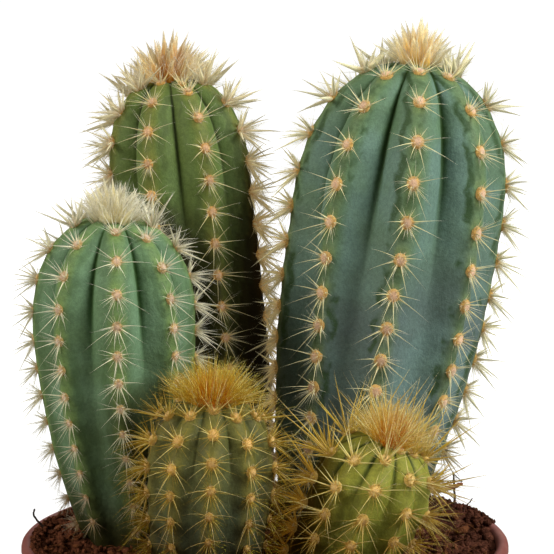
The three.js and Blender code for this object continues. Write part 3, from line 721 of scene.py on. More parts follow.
    def holds(self, points, margin):
        """Which points lie inside the crests' envelope, or within a margin of it."""
        below = self.size.apex[2] - points[..., 2]
        for _ in range(3):
            centre, along, _, _ = self.axis_at(below)
            below = below - np.sum((points - centre) * along, axis=-1)
        centre = self.axis_at(below)[0]
        away = np.linalg.norm(points - centre, axis=-1)
        return (below > -margin) & (away < self.radius_at(np.maximum(below, 1e-6)) + margin)


def soil_height(x, y):
    """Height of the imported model's soil."""
    soil = settings().soil
    away = np.hypot(x - HEAP[0], y - HEAP[1])
    heap = soil.heap * np.exp(-((away / soil.heap_width) ** 2))
    ripple = 0.7 * MM * np.sin(x / MM * 0.31) * np.cos(y / MM * 0.27 + 1)
    return soil.level + heap + ripple


# ---- Skins ----


def closeness(points, stem, stems):
    """How close other stems stand, from 0 to 1."""
    reaches = np.arange(2, 20, 2.5) * MM
    others = [other for other in stems if other is not stem]
    near = [np.any([other.holds(points, reach) for other in others], axis=0) for reach in reaches]
    return np.mean(near, axis=0)


def skin_piece(stem, stems):
    """The ribbed skin of a stem, closed at the tip and at its root end."""
    name = stem.size.name
    batch = Batch()
    rows = np.arange(FIRST_ROW, stem.arcs[-1] + SUNK, ROW)
    places = np.array([*RIB_PLACES, 0, *(-p for p in RIB_PLACES[:0:-1])])
    arc, place = np.meshgrid(rows, places, indexing="ij")
    skins = []
    marks = {"rib": [], "side": [], "beat": [], "pad": [], "worn_and_shaded_flank": []}
    for rib in range(stem.ribs):
        skins.append(stem.skin(rib, arc, place))
        marks["rib"].append(np.abs(place))
        marks["side"].append(stem.side(arc, place))
        marks["beat"].append(stem.beat(rib, arc))
        marks["pad"].append(stem.pad_distance(rib, arc, place))
        # The flanks that look towards the middle of the front get the dark line beside the crest:
        # wax rubbed off there, and painted shade of the fold.
        inward = -1 if np.sin(2 * np.pi * rib / stem.ribs) > -0.01 else 1
        marks["worn_and_shaded_flank"].append(smooth(place * inward, 0.02, 0.12))
    points = np.concatenate(skins, axis=1)
    centre = stem.axis_at(stem.below_tip(rows))[0][:, None]
    outward = unit(points - centre)
    lumps = roughness_at(points, 13 * MM, stem.seed) * 0.35 + roughness_at(points, 4.5 * MM) * 0.1
    fade = smooth(np.linalg.norm(points - centre, axis=-1, keepdims=True), 1 * MM, 6 * MM)
    points = points + outward * (lumps * MM)[..., None] * fade
    near = closeness(points, stem, stems).ravel()
    near = np.append(near, near[[0, -1]])
    tip = stem.skin(0, np.array(0.0), np.array(0.0), plain=True)
    end = centre[-1, 0]
    every = np.concatenate([points.reshape(-1, 3), [tip], [end]])
    flat = {key: np.concatenate(values, 1).ravel() for key, values in marks.items()}
    flat = {key: np.append(values, values[[0, -1]]) for key, values in flat.items()}
    high = np.clip((every[:, 2] - FOOT) / (stem.size.apex[2] - FOOT), 0, 1)
    batch.add(every, ring_faces(*points.shape[:2]), high=high, near=near, **flat)
    return batch.piece("skin_" + name, skin_material(stem.size), SKIN_SLOTS[name], "stem_" + name)


# ---- Pads and spines ----


class Pads:
    """Places of all the pads of a stem, with the young ones near the tip."""

    def __init__(self, stem, stems):
        self.stem = stem
        found = []
        for rib in range(stem.ribs):
            arcs = np.array([*self.young_arcs(rib), *stem.pads[rib]])
            facing = np.cos(stem.size.turn + 2 * np.pi * rib / stem.ribs) * np.ones(len(arcs))
            place = arcs / stem.pads[rib][0]
            found.append((*stem.crest_frame(rib, arcs), arcs, place, facing))
        joined = [np.concatenate(parts) for parts in zip(*found)]
        self.here, self.up, self.side, self.out, arcs, place, facing = joined
        # 1 in the tuft and 0 from the first pad of a rib down.
        self.youth = 1 - smooth(place, 0.3, 1.12)
        # 1 down to the first pad of a rib and 0 from the third down.
        self.bud = 1 - smooth(place, 1.0, 2.6)
        self.age = smooth(arcs / arcs.max(), 0.3, 0.95)
        # How matted the spines are: most at the top and on the flanks, least in front.
        self.matted = self.bud * (1 - smooth(facing, 0.2, 0.75))
        self.matted += 0.45 * (1 - self.bud) * (1 - smooth(np.abs(facing), 0.3, 0.7))
        self.matted *= mixed(1.0, stem.size.old_spines**2, self.age)
        self.near = closeness(self.here, stem, stems)
        # 1 for the first pads that face the front, whose spines are short.
        self.open = self.bud * smooth(facing, 0.4, 0.9)
        self.size = stem.size.pad_radius * mixed(1.0, 0.6, self.youth)
        self.size *= mixed(1.0, stem.size.old_pads, self.age)

    def warmth(self):
        """How golden the wool of each pad is: more near the tip, and beside a neighbour as painted
        shade.
        """
        return 0.4 * np.maximum(self.youth, self.near)

    def young_arcs(self, rib):
        size = self.stem.size
        arc = self.stem.pads[rib][0] - size.young_gap
        arcs = []
        while arc > 0.8 * size.tuft_radius:
            arcs.append(arc)
            arc -= size.young_gap
        return arcs[::-1]

    def __len__(self):
        return len(self.here)


def felt_domes(batch, pads, rng):
    """A low lumpy dome of felt on each pad, a little taller than wide."""
    corners = 12
    rings = np.array([[0.96, -0.45], [1.0, 0.04], [0.86, 0.3], [0.56, 0.46], [0.24, 0.54]])
    turn = turns_of(corners)
    number = len(pads)
    spread = rings[:, 0, None, None] * np.stack([np.sin(turn), 1.12 * np.cos(turn)], -1)
    rise = np.broadcast_to(rings[:, 1, None], spread.shape[:2])
    local = np.concatenate([spread, rise[..., None]], -1).reshape(-1, 3)
    local = np.concatenate([local, [[0, 0, 0.57], [0, 0, -0.5]]])
    shaken = local + rng.normal(0, 0.035, (number, len(local), 3))
    points = placed_on(pads, shaken)
    faces = repeated(ring_faces(len(rings), corners, (1, 0)), number, len(local))
    edge = np.concatenate([np.repeat(rings[:, 0], corners), [0, 1]])
    shade = np.repeat(rng.random(number), len(local))
    batch.add(points.reshape(-1, 3), faces, edge=np.tile(edge, number), shade=shade)


def placed_on(pads, local):
    """Points given to the right, up and out of each pad, in shares of its radius."""
    scaled = local * pads.size[:, None, None]
    return (
        pads.here[:, None]
        + pads.side[:, None] * scaled[..., :1]
        + pads.up[:, None] * scaled[..., 1:2]
        + pads.out[:, None] * scaled[..., 2:]
    )


def felt_fuzz(batch, pads, rng, each, inner, lean_out, lengths):
    """Short wool that stands out of the felt, rooted between a share of its radius and its rim."""
    number = len(pads)
    reach = np.sqrt(rng.uniform(inner**2, 1, (number, each, 1)))
    turn = 2 * np.pi * rng.random((number, each, 1))
    ring = np.concatenate([np.sin(turn), 1.18 * np.cos(turn)], -1)
    start = np.concatenate([reach * ring * 0.95, 0.5 * (1 - reach**2.5) - 0.04], -1)
    lean = np.concatenate([ring * reach * lean_out, np.full((number, each, 1), 0.75)], -1)
    lean = unit(lean + rng.normal(0, 0.25, lean.shape))
    end = start + lean * rng.uniform(*lengths, (number, each, 1))
    paths = np.stack([placed_on(pads, start), placed_on(pads, end)], 2).reshape(-1, 2, 3)
    radii = np.broadcast_to([0.045 * MM, 0], paths.shape[:2])
    points, faces, _ = tubes(paths, radii, 3)
    per = len(points) // (number * each)
    edge = np.repeat(reach.ravel(), per)
    shade = np.repeat(rng.random(number * each), per)
    batch.add(points, faces, edge=edge, shade=shade)


def pad_piece(stem, pads, rng):
    """The felt pads of a stem: domes, short wool on them and a halo of wool round them."""
    batch = Batch()
    felt_domes(batch, pads, rng)
    felt_fuzz(batch, pads, rng, each=44, inner=0.0, lean_out=1.0, lengths=(0.12, 0.3))
    felt_fuzz(batch, pads, rng, each=44, inner=0.8, lean_out=1.9, lengths=(0.25, 0.7))
    name = stem.size.name
    return batch.piece("pads_" + name, felt_material(stem.size), SPINE_SLOTS[name])


def bent_paths(roots, ways, lengths, bends, steps):
    """Paths from the roots along the ways that end bent by a share of their length."""
    share = np.linspace(0, 1, steps)[:, None]
    reach = lengths[:, None, None]
    return roots[:, None] + ways[:, None] * reach * share + bends[:, None] * reach * share**2


def kept_clear(roots, ways, lengths, bends, stem, stems, steps):
    """Paths that are shortened, or left out, where they would reach into anything else.

    Returns the paths and which of the given ones they are.
    """
    scale = np.ones(len(lengths))
    for _ in range(SHORTENINGS):
        paths = bent_paths(roots, ways, lengths * scale, bends, steps)
        blocked = is_blocked(paths[:, 1:], stem, stems)
        scale = np.where(blocked, scale * SHORTER, scale)
    return paths[~blocked], np.flatnonzero(~blocked)


def is_blocked(points, stem, stems):
    """Which paths come into another stem, the soil, the pot's lip or too far out."""
    pot = settings().pot
    blocked = np.zeros(points.shape[:2], bool)
    for other in stems:
        if other is not stem:
            blocked |= other.holds(points, CLEAR_OF_STEMS)
    x, y, z = points[..., 0], points[..., 1], points[..., 2]
    blocked |= z < soil_height(x, y) + CLEAR_OF_SOIL
    at_rim = np.hypot(x, y) > pot.rim_radius - pot.lip - MM
    blocked |= at_rim & (z < pot.height + CLEAR_OF_RIM)
    low, high = (np.array(corner) for corner in CAD_BOX)
    blocked |= np.any((points < low - OVER_BOX) | (points > high + OVER_BOX), axis=-1)
    return blocked.any(axis=1)


def rays(pads, bearings, lifts, sink):
    """Roots and directions out of every pad.

    A bearing is clockwise from up the crest and a lift is off the skin, both in radians and one
    of each for every ray of every pad. sink is how far out in the pad they start.
    """
    up, side, out = pads.up[:, None], pads.side[:, None], pads.out[:, None]
    bearings, lifts = bearings[..., None], lifts[..., None]
    flat = up * np.cos(bearings) + side * np.sin(bearings)
    bud = pads.bud[:, None, None]
    ways = flat * np.cos(lifts) + out * np.sin(lifts) + up * 0.45 * bud
    roots = pads.here[:, None] + (flat * sink * np.cos(lifts) + out * 0.1) * (
        pads.size[:, None, None]
    )
    return roots.reshape(-1, 3), unit(ways).reshape(-1, 3)


def main_spines(pads, rng):
    """The strong spines: a fan down and sideways, and a few that stand up.

    Returns their roots, directions and lengths and which pad each is on.
    """
    size = pads.stem.size
    number = len(pads)
    place = np.linspace(-0.5, 0.5, size.mains)
    fan = np.pi + FAN * place + rng.normal(0, 0.13, (number, size.mains))
    upright = 2 * np.pi * rng.random((number, size.centrals))
    bearings = np.concatenate([fan, upright], 1)
    low = rng.uniform(*FAN_LIFTS, fan.shape)
    high = rng.uniform(*UPRIGHT_LIFTS, upright.shape)
    lifts = np.concatenate([low, high], 1)
    roots, ways = rays(pads, bearings, lifts, sink=0.85)
    fan_reach = 1.05 - 0.35 * smooth(np.abs(place), 0.3, 0.5) + np.zeros((number, 1))
    upright_reach = mixed(0.85, 1.5, pads.bud[:, None]) + np.zeros(size.centrals)
    reach = np.concatenate([fan_reach, upright_reach], 1)
    lengths = size.spine * reach * rng.uniform(0.82, 1.12, bearings.shape)
    aged = mixed(1.0, size.old_spines, pads.age) * mixed(1.0, 0.68, pads.open)
    lengths *= (mixed(1.0, 0.8, pads.youth) * aged)[:, None]
    return roots, ways, lengths.ravel(), np.arange(number).repeat(bearings.shape[1])


def spine_piece(stem, pads, stems, rng):
    """The spines of a stem's pads, with the fine hairs that stand round and cling to them."""
    size = stem.size
    batch = Batch()
    roots, ways, lengths, pad = main_spines(pads, rng)
    fall = np.array([0, 0, -1.0]) * size.droop
    bends = fall * mixed(1, 0.2, pads.bud[pad])[:, None] + rng.normal(0, 0.03, roots.shape)
    paths, kept = kept_clear(roots, ways, lengths, bends, stem, stems, steps=4)
    # Near the tip this golden tint is the young wool's own colour; beside a neighbour it is painted
    # shade.
    warm_and_shaded, bud = pads.warmth()[pad[kept]], pads.bud[pad[kept]]
    add_spines(batch, paths, size.spine_radius * (1 + 0.5 * bud)[:, None], warm_and_shaded, rng)
    add_wool(batch, paths, warm_and_shaded, rng, width=0.45 * MM, each=2, reaches=(0.25, 0.6))
    matted = pads.matted[pad[kept]]
    chosen = matted > MATTED
    paths, warm_and_shaded = paths[chosen], warm_and_shaded[chosen]
    wedges(batch, paths, size.wedge * matted[chosen], warm_and_shaded, rng)
    add_wool(batch, paths, warm_and_shaded, rng, width=size.wedge * 1.2, each=8, reaches=(0.4, 0.95))
    shape = (len(pads), size.hairs + size.haze)
    bearings = np.pi + rng.normal(0, 1.5, shape)
    lifts = rng.uniform(*HAIR_LIFTS, shape)
    roots, ways = rays(pads, bearings, lifts, sink=0.95)
    lengths = size.spine * size.hair_reach * rng.uniform(0.5, 1.4, shape)
    # The hairs over the usual number stand only on the flanks, where they make a haze.
    extra = np.arange(shape[1]) >= size.hairs
    lengths *= np.where(extra, 1.5 * smooth(pads.matted, 0.02, 0.2)[:, None], 1.0)
    lengths = np.maximum(lengths, 0.1 * MM).ravel()
    hazy = lengths > 0.2 * MM
    roots, ways, lengths = roots[hazy], ways[hazy], lengths[hazy]
    warm_and_shaded = np.repeat(pads.warmth(), shape[1])[hazy]
    bends = rng.normal(0, 0.1, roots.shape)
    paths, kept = kept_clear(roots, ways, lengths, bends, stem, stems, steps=3)
    add_hairs(batch, paths, WOOL_RADIUS, warm_and_shaded[kept], rng)
    name = size.name
    return batch.piece("spines_" + name, spine_material(size), SPINE_SLOTS[name])


def add_spines(batch, paths, radius, heart, rng):
    """Stiff spines with a flared root."""
    left = 1 - np.linspace(0, 1, paths.shape[1])
    radii = radius * rng.uniform(0.8, 1.15, (len(paths), 1)) * (0.8 * left + 0.8 * left**4)
    points, faces, along = tubes(paths, radii, 4)
    add_strands(batch, points, faces, along, heart, 0.0, rng)


def add_hairs(batch, paths, radius, heart, rng):
    """Fine wool along the paths."""
    taper = 1 - np.linspace(0, 1, paths.shape[1]) ** 1.5
    points, faces, along = tubes(paths, radius * taper * np.ones((len(paths), 1)), 3)
    add_strands(batch, points, faces, along, heart, 1.0, rng)


def add_strands(batch, points, faces, along, heart, wool, rng):
    per = len(points) // len(heart)
    shade = np.repeat(rng.random(len(heart)), per)
    batch.add(points, faces, along=along, shade=shade, heart=np.repeat(heart, per), wool=wool)


def add_wool(batch, paths, heart, rng, width, each, reaches, gather=0.9):
    """Hairs that stand on a disc round each path's root and lean together towards its tip.

    reaches gives the least and the greatest share of the path that they go along.
    """
    number = len(paths)
    root, tip = paths[:, 0], paths[:, -1]
    way = unit(tip - root)
    side = unit(np.cross(way, [0.31, 0.52, 0.8]))
    over = np.cross(way, side)
    reach = np.sqrt(rng.random((number, each, 1)))
    turn = 2 * np.pi * rng.random((number, each, 1))
    off = (side[:, None] * np.cos(turn) + over[:, None] * np.sin(turn)) * reach * width
    share = rng.uniform(*reaches, (number, each, 1)) * (1 - 0.25 * reach)
    shaken = rng.normal(0, 0.3, (number, each, 3)) * width * (1 - gather)
    end = root[:, None] + (tip - root)[:, None] * share + off * (1 - gather * share) + shaken
    start = root[:, None] + off
    middle = mixed(start, end, 0.5) + off * 0.12 + paths_bow(paths)[:, None] * share**2
    hairs = np.stack([start, middle, end], 2).reshape(-1, 3, 3)
    add_hairs(batch, hairs, WOOL_RADIUS, np.repeat(heart, each), rng)


def paths_bow(paths):
    """How far the middle of each path lies off its straight chord."""
    middle = paths[:, paths.shape[1] // 2]
    share = (paths.shape[1] // 2) / (paths.shape[1] - 1)
    return middle - mixed(paths[:, 0], paths[:, -1], share)


# ---- Tufts ----


def tuft_piece(stem, stems, rng):
    """The woolly tip: a lumpy core, tongues of young wool and long single spines."""
    size = stem.size
    batch = Batch()
    tuft_core(batch, stem, rng)
    if size.tongues:
        paths, reach = tuft_paths(stem, stems, rng, size.tongues, size.tongue)
        width = size.tongue_width * size.tongue_core * mixed(1.3, 0.85, reach)
        wedges(batch, paths, width * rng.uniform(0.6, 1.2, len(reach)), hearts(reach, rng), rng)
        add_wool(
            batch,
            paths,
            hearts(reach, rng),
            rng,
            width=size.tongue_width,
            each=size.tongue_hairs,
            reaches=(0.5, 1.05),
            gather=size.gather,
        )
    paths, reach = tuft_paths(stem, stems, rng, size.bristles, size.bristle, loose=0.22)
    add_hairs(batch, paths, size.bristle_radius, hearts(reach, rng), rng)
    paths, reach = tuft_paths(stem, stems, rng, size.spikes, size.spike, inner=0.2, loose=0.15)
    add_spines(batch, paths, size.spine_radius, 0.2 * (1 - reach), rng)
    name = size.name
    return batch.piece("crown_" + name, spine_material(size), SPINE_SLOTS[name], "tuft_" + name)


def hearts(reach, rng):
    """How much of the colour of the tuft's heart each path has."""
    return np.clip(1 - 0.85 * smooth(reach, 0.2, 0.9) + rng.normal(0, 0.1, len(reach)), 0, 1)


def wedges(batch, paths, width, heart, rng):
    """Matted wool that narrows evenly to the end of each path."""
    steps = paths.shape[1]
    taper = (1 - np.linspace(0, 1, steps)) ** 0.95
    radii = width[:, None] * taper * rng.uniform(0.88, 1.1, (len(paths), steps))
    points, faces, along = tubes(paths, radii, 7)
    points = points + rng.normal(0, 0.03 * MM, points.shape)
    add_strands(batch, points, faces, along, heart, 1.0, rng)


def tuft_frame(stem):
    """The tip and the directions to the front, to the right and up the axis."""
    _, along, front, right = stem.axis_at(np.array(0.0))
    return np.array(stem.size.apex), front, right, along


def tuft_core(batch, stem, rng):
    size = stem.size
    tip, front, right, along = tuft_frame(stem)
    corners = 22
    rings = np.linspace(1, 0.12, 7)
    turn = turns_of(corners)
    reach = rings[:, None] * size.tuft_radius * 0.9 * np.ones(corners)
    rise = size.tuft_height * (1 - rings[:, None] ** 2.2) * 0.8 * np.ones(corners)
    rise[0] = -1.5 * MM
    reach = reach * rng.uniform(0.88, 1.1, reach.shape)
    rise[1:] += rng.normal(0, 0.22 * MM, rise[1:].shape)
    local = (
        tip
        + front * (reach * np.cos(turn))[..., None]
        + right * (reach * np.sin(turn))[..., None]
        + along * rise[..., None]
    )
    local -= along * (reach**2 / (2 * size.radius))[..., None]
    top, root = tip + along * size.tuft_height * 0.9, tip - along * 2 * MM
    every = np.concatenate([local.reshape(-1, 3), [top, root]])
    faces = ring_faces(len(rings), corners, (1, 0), climbing=True)
    heart = np.concatenate([np.repeat(1 - 0.75 * smooth(rings, 0.25, 1), corners), [1, 0]])
    shade = rng.random(len(every))
    batch.add(every, faces, along=0.15, shade=shade, heart=heart, wool=1.0)


def tuft_paths(stem, stems, rng, number, longest, inner=0.0, loose=0.09):
    """Paths that rise from the tip like a sunflower's florets, leaning out more towards its edge.

    inner is the share of the tuft that they leave free in its middle, and loose is how much
    their directions differ. Returns them with each one's place between the middle, 0, and the
    edge, 1. Those in front count as nearer to the middle.
    """
    size = stem.size
    tip, front, right, along = tuft_frame(stem)
    index = np.arange(number)
    reach = np.sqrt(mixed(inner, 1.0, (index + 0.12) / number))[:, None]
    turn = (GOLDEN_TURN * index + rng.normal(0, 0.15, number))[:, None]
    outward = front * np.cos(turn) + right * np.sin(turn)
    sink = (reach * size.tuft_radius) ** 2 / (2 * size.radius)
    roots = tip + outward * reach * size.tuft_radius - along * sink
    roots = roots + along * size.tuft_height * 0.5 * (1 - reach**2)
    lean = size.tuft_spread * reach**1.1 * (1 - 0.5 * np.maximum(np.cos(turn), 0))
    ways = along * np.cos(lean) + outward * np.sin(lean) + right * size.tuft_lean
    ways = unit(ways + rng.normal(0, loose, roots.shape) * mixed(0.35, 1.0, reach))
    lengths = longest * mixed(1.12, size.edge_length, reach[:, 0])
    lengths *= rng.uniform(1 - 2.2 * loose, 1.05 + 0.3 * loose, number)
    lengths[0] = longest * 1.12
    bends = outward * 0.08 * reach + rng.normal(0, 0.03, roots.shape)
    paths, kept = kept_clear(roots, ways, lengths, bends, stem, stems, steps=4)
    ahead = np.maximum(np.cos(turn), 0)
    apart = reach * (1 - 0.7 * ahead**2)
    return paths, apart[kept, 0]


# ---- Pot ----


def pot_wall(pot, height):
    """Outer radius of the tapered wall below the band."""
    top = pot.rim_radius - pot.lip
    below_band = pot.height - pot.band
    return pot.base_radius + (top - pot.base_radius) * min(height, below_band) / below_band


def pot_profile(pot):
    """The pot's outline as radius and height, from the middle of the underside outwards."""
    top, band = pot.height, pot.height - pot.band
    rim, inner = pot.rim_radius, pot.rim_radius - pot.lip - 0.4 * MM
    middle, round_top = rim - pot.lip / 2 - 0.2 * MM, pot.lip / 2 + 0.2 * MM
    lip = [
        (middle + round_top * np.cos(a), top - round_top * (1 - np.sin(a)))
        for a in np.radians([0, 25, 50, 75, 100, 125, 150, 180])
    ]
    outside = [
        (0.02 * MM, 0.9 * MM),
        (pot.base_radius - 12 * MM, 0.9 * MM),
        (pot.base_radius - 10.8 * MM, 0.15 * MM),
        (pot.base_radius - 10.4 * MM, 0),
        (pot.base_radius - 1.2 * MM, 0),
        (pot.base_radius - 0.4 * MM, 0.25 * MM),
        (pot.base_radius, 1.1 * MM),
        (pot_wall(pot, 5 * MM), 5 * MM),
        (pot_wall(pot, 0.5 * band), 0.5 * band),
        (pot_wall(pot, band - 0.6 * MM), band - 0.6 * MM),
        (pot_wall(pot, band) + 0.1 * MM, band),
        (rim - 1.6 * MM, band + 0.1 * MM),
        (rim - 1.1 * MM, band + 0.5 * MM),
        (rim - 1.0 * MM, band + 1.2 * MM),
        (rim - 0.75 * MM, top - 4.6 * MM),
        (rim - 0.65 * MM, top - 3.6 * MM),
        (rim - 0.3 * MM, top - 3.0 * MM),
        (rim, top - 2.2 * MM),
    ]
    inside = [
        (inner, top - 3 * MM),
        (inner - 0.1 * MM, band + 3 * MM),
        (pot_wall(pot, band) - pot.wall, band),
        (pot_wall(pot, 0.5 * band) - pot.wall, 0.5 * band),
        (pot_wall(pot, pot.floor + 2 * MM) - pot.wall, pot.floor + 2 * MM),
        (pot_wall(pot, pot.floor) - pot.wall - 1.5 * MM, pot.floor),
        (0.02 * MM, pot.floor),
    ]
    return np.array(outside + lip + inside)


def pot_piece(pot):
    """The nursery pot: a turned wall with a rolled lip, and its drain holes cut through."""
    profile = pot_profile(pot)
    corners = 128
    points = around(profile[:, :1], turns_of(corners), profile[:, 1:])
    centres = np.array([[0, 0, profile[0, 1]], [0, 0, profile[-1, 1]]])
    batch = Batch()
    faces = ring_faces(len(profile), corners, climbing=True)
    batch.add(np.concatenate([points.reshape(-1, 3), centres]), faces)
    whole = placed("pot_blank", batch.mesh("pot_blank"))
    for index in range(pot.holes):
        drill = drill_at(pot, 2 * np.pi * (index + 0.5) / pot.holes)
        cut = whole.modifiers.new("hole", "BOOLEAN")
        cut.object, cut.operation, cut.solver = drill, "DIFFERENCE", "EXACT"
    seen = whole.evaluated_get(bpy.context.evaluated_depsgraph_get())
    mesh = bpy.data.meshes.new_from_object(seen)
    mesh.shade_smooth()
    mesh.set_sharp_from_angle(angle=np.radians(40))
    for spare in [whole, *(m.object for m in whole.modifiers)]:
        bpy.data.objects.remove(spare)
    return piece_of("pot_plastic", mesh, pot_material(pot), "pot_plastic", "pot")


def drill_at(pot, turn):
    """A rod that is as wide as a drain hole and stands in its place."""
    mesh = bpy.data.meshes.new("drill")
    shape = bmesh.new()
    bmesh.ops.create_cone(
        shape,
        cap_ends=True,
        segments=32,
        radius1=pot.hole_radius,
        radius2=pot.hole_radius,
        depth=4 * pot.floor,
        matrix=Matrix.Translation(around(pot.hole_circle, turn, 0)),
    )
    shape.to_mesh(mesh)
    shape.free()
    return placed("drill", mesh)


# ---- Soil ----


def loose_height(x, y):
    """The packed soil's height with its crumbly relief and the pit at the left rim."""
    away = np.hypot(x, y)
    points = np.stack([x, y, np.zeros_like(x)], -1)
    relief = (
        1.0 * roughness_at(points, 8 * MM)
        + 0.9 * roughness_at(points, 3.1 * MM, 4.0)
        + 0.6 * roughness_at(points, 1.5 * MM, 9.0)
    )
    hole = np.hypot(x - PIT[0], y - PIT[1])
    pit = 3.0 * np.exp(-((hole / (2.4 * MM)) ** 2))
    behind = smooth(away, 40 * MM, 53 * MM) * smooth(y, -4 * MM, 12 * MM)
    bank = behind * (1.2 * smooth(-x, 15 * MM, 35 * MM) + 0.5 * smooth(x, 25 * MM, 42 * MM))
    return soil_height(x, y) + (relief - 0.3 - pit + bank) * MM


def ground_at(away, turn):
    """Points of the loose soil's surface at a distance and a turn about the pot's axis."""
    x, y = away * np.cos(turn), away * np.sin(turn)
    return np.stack([x, y, loose_height(x, y)], -1)


def soil_piece(clump):
    """The peat that fills the pot, as one body."""
    pot, soil = clump.pot, clump.soil
    edge = pot.rim_radius - pot.lip - 0.5 * MM
    turn = turns_of(230)
    reach = np.append(np.arange(1.2, edge / MM, 0.85) * MM, edge)
    band = pot.height - pot.band
    under = pot.floor + 0.3 * MM
    sides = [
        around(edge, turn, band + 3.4 * MM),
        around(pot_wall(pot, band) - pot.wall - 0.4 * MM, turn, band - 0.2 * MM),
        around(pot_wall(pot, under) - pot.wall - 2.2 * MM, turn, under),
    ]
    points = np.concatenate([ground_at(reach[:, None], turn), sides])
    middle = [ground_at(np.zeros(1), 0.0)[0], [0, 0, under]]
    every = np.concatenate([points.reshape(-1, 3), middle])
    batch = Batch()
    batch.add(every, ring_faces(*points.shape[:2]), kind=0.0, shade=0.5, wet=wetness(every))
    return batch.piece("soil_peat", soil_material(soil), "peat", "soil")


def wetness(points):
    """How moist the peat is: least at the left rim."""
    return smooth(points[..., 0] + 0.4 * points[..., 1], -50 * MM, 0)


def open_ground(number, stems, rng):
    """Random points of the soil's surface between the stems."""
    found = []
    pot = settings().pot
    edge = pot.rim_radius - pot.lip - 1.6 * MM
    while len(found) < number:
        reach = edge * np.sqrt(rng.uniform(0, 1, 400))
        turn = rng.uniform(0, 2 * np.pi, 400)
        points = ground_at(reach, turn)
        taken = np.any([stem.holds(points, 0.3 * MM) for stem in stems], axis=0)
        found += list(points[~taken])
    return np.array(found[:number])


def lump_template():
    """Corners and faces of a ball of twenty faces."""
    ball = bmesh.new()
    bmesh.ops.create_icosphere(ball, subdivisions=1, radius=1)
    points = np.array([v.co for v in ball.verts])
    faces = np.array([[v.index for v in face.verts] for face in ball.faces])
    ball.free()
    return points, faces


def turned(number, rng):
    """Random turns as matrices."""
    first = unit(rng.normal(0, 1, (number, 3)))
    second = unit(np.cross(first, rng.normal(0, 1, (number, 3))))
    return np.stack([first, second, np.cross(first, second)], 1)


def lumps(batch, places, scales, rng, shake, kind):
    """Broken lumps at the places, each turned and squeezed in its own way."""
    shape, faces = lump_template()
    number = len(places)
    bodies = shape + rng.normal(0, shake, (number, *shape.shape))
    bodies = np.einsum("nij,njk->nik", bodies * scales[:, None], turned(number, rng))
    points = (places[:, None] + bodies).reshape(-1, 3)
    shade = np.repeat(rng.random(number), len(shape))
    faces = repeated([faces], number, len(shape))
    batch.add(points, faces, shade=shade, wet=wetness(points), kind=kind)


def crumbs(batch, places, sizes, rng):
    """Crumbs of peat of those sizes, each a little squeezed."""
    scales = sizes * rng.uniform(0.6, 1, (len(places), 3))
    lumps(batch, places, scales, rng, shake=0.2, kind=0.0)


def lip_crumbs(batch, pot, number, rng, between, inward, rise):
    """Crumbs on or against the lip, between two turns in degrees and two distances in from it.

    rise gives their height over it in millimetres, from how far in each lies and a random share.
    """
    turn = rng.uniform(*np.radians(between), number)
    share = rng.random(number)
    away = pot.rim_radius - mixed(*inward, share) * MM
    level = pot.height + rise(share, rng.random(number)) * MM
    crumbs(batch, around(away, turn, level), rng.uniform(0.35, 1.0, (number, 1)) * MM, rng)


def spilled_rise(inward, share):
    return 0.7 * share**1.5 - 0.1


def banked_rise(inward, share):
    return -0.1 - 1.2 * inward * share


def litter_piece(clump, stems, rng):
    """Loose crumbs, bark chips and fibres that lie on the soil."""
    pot, soil = clump.pot, clump.soil
    batch = Batch()
    places = open_ground(soil.crumbs, stems, rng)
    crumbs(batch, places, rng.uniform(0.35, 1.25, (soil.crumbs, 1)) ** 1.8 * MM, rng)
    places = open_ground(soil.chips, stems, rng) + [0, 0, 0.5 * MM]
    sizes = rng.uniform(0.8, 1.6, (soil.chips, 1)) * MM * [[1.5, 0.8, 0.35]]
    lumps(batch, places, sizes, rng, shake=0.16, kind=0.6)
    fibres(batch, open_ground(soil.fibres, stems, rng), rng)
    spilled = {"between": (13, 58), "inward": (0.9, 5.5), "rise": spilled_rise}
    lip_crumbs(batch, pot, soil.spilled, rng, **spilled)
    banked = {"between": (138, 222), "inward": (2.5, 4.8), "rise": banked_rise}
    lip_crumbs(batch, pot, soil.banked, rng, **banked)
    return batch.piece("soil_litter", soil_material(soil), "peat")


def fibres(batch, places, rng):
    """Thin curved fibres that lie on the soil or arch over it."""
    number = len(places)
    turn = rng.uniform(0, 2 * np.pi, number)
    way = np.stack([np.cos(turn), np.sin(turn), rng.uniform(-0.05, 0.3, number)], -1)
    across = np.stack([-np.sin(turn), np.cos(turn), np.zeros(number)], -1)
    lengths = rng.uniform(2, 7, number)[:, None, None] * MM
    share = np.linspace(0, 1, 6)[:, None]
    curl = rng.normal(0, 0.3, (number, 1, 1))
    paths = places[:, None] + lengths * (
        way[:, None] * share + across[:, None] * curl * share**2
    )
    paths[..., 2] += (rng.uniform(0, 0.25, (number, 1)) * lengths[:, 0]) * (
        4 * share * (1 - share)
    )[:, 0]
    pot = settings().pot
    inside = np.hypot(paths[..., 0], paths[..., 1]).max(1) < pot.rim_radius - pot.lip - MM
    paths = paths[inside]
    radii = rng.uniform(0.06, 0.16, (len(paths), 1)) * MM * (1 - share[:, 0] ** 2)
    points, faces, _ = tubes(paths, radii, 3)
    shade = np.repeat(rng.random(len(paths)), len(points) // len(paths))
    batch.add(points, faces, kind=1.0, shade=shade, wet=wetness(points))


# ---- Twigs ----

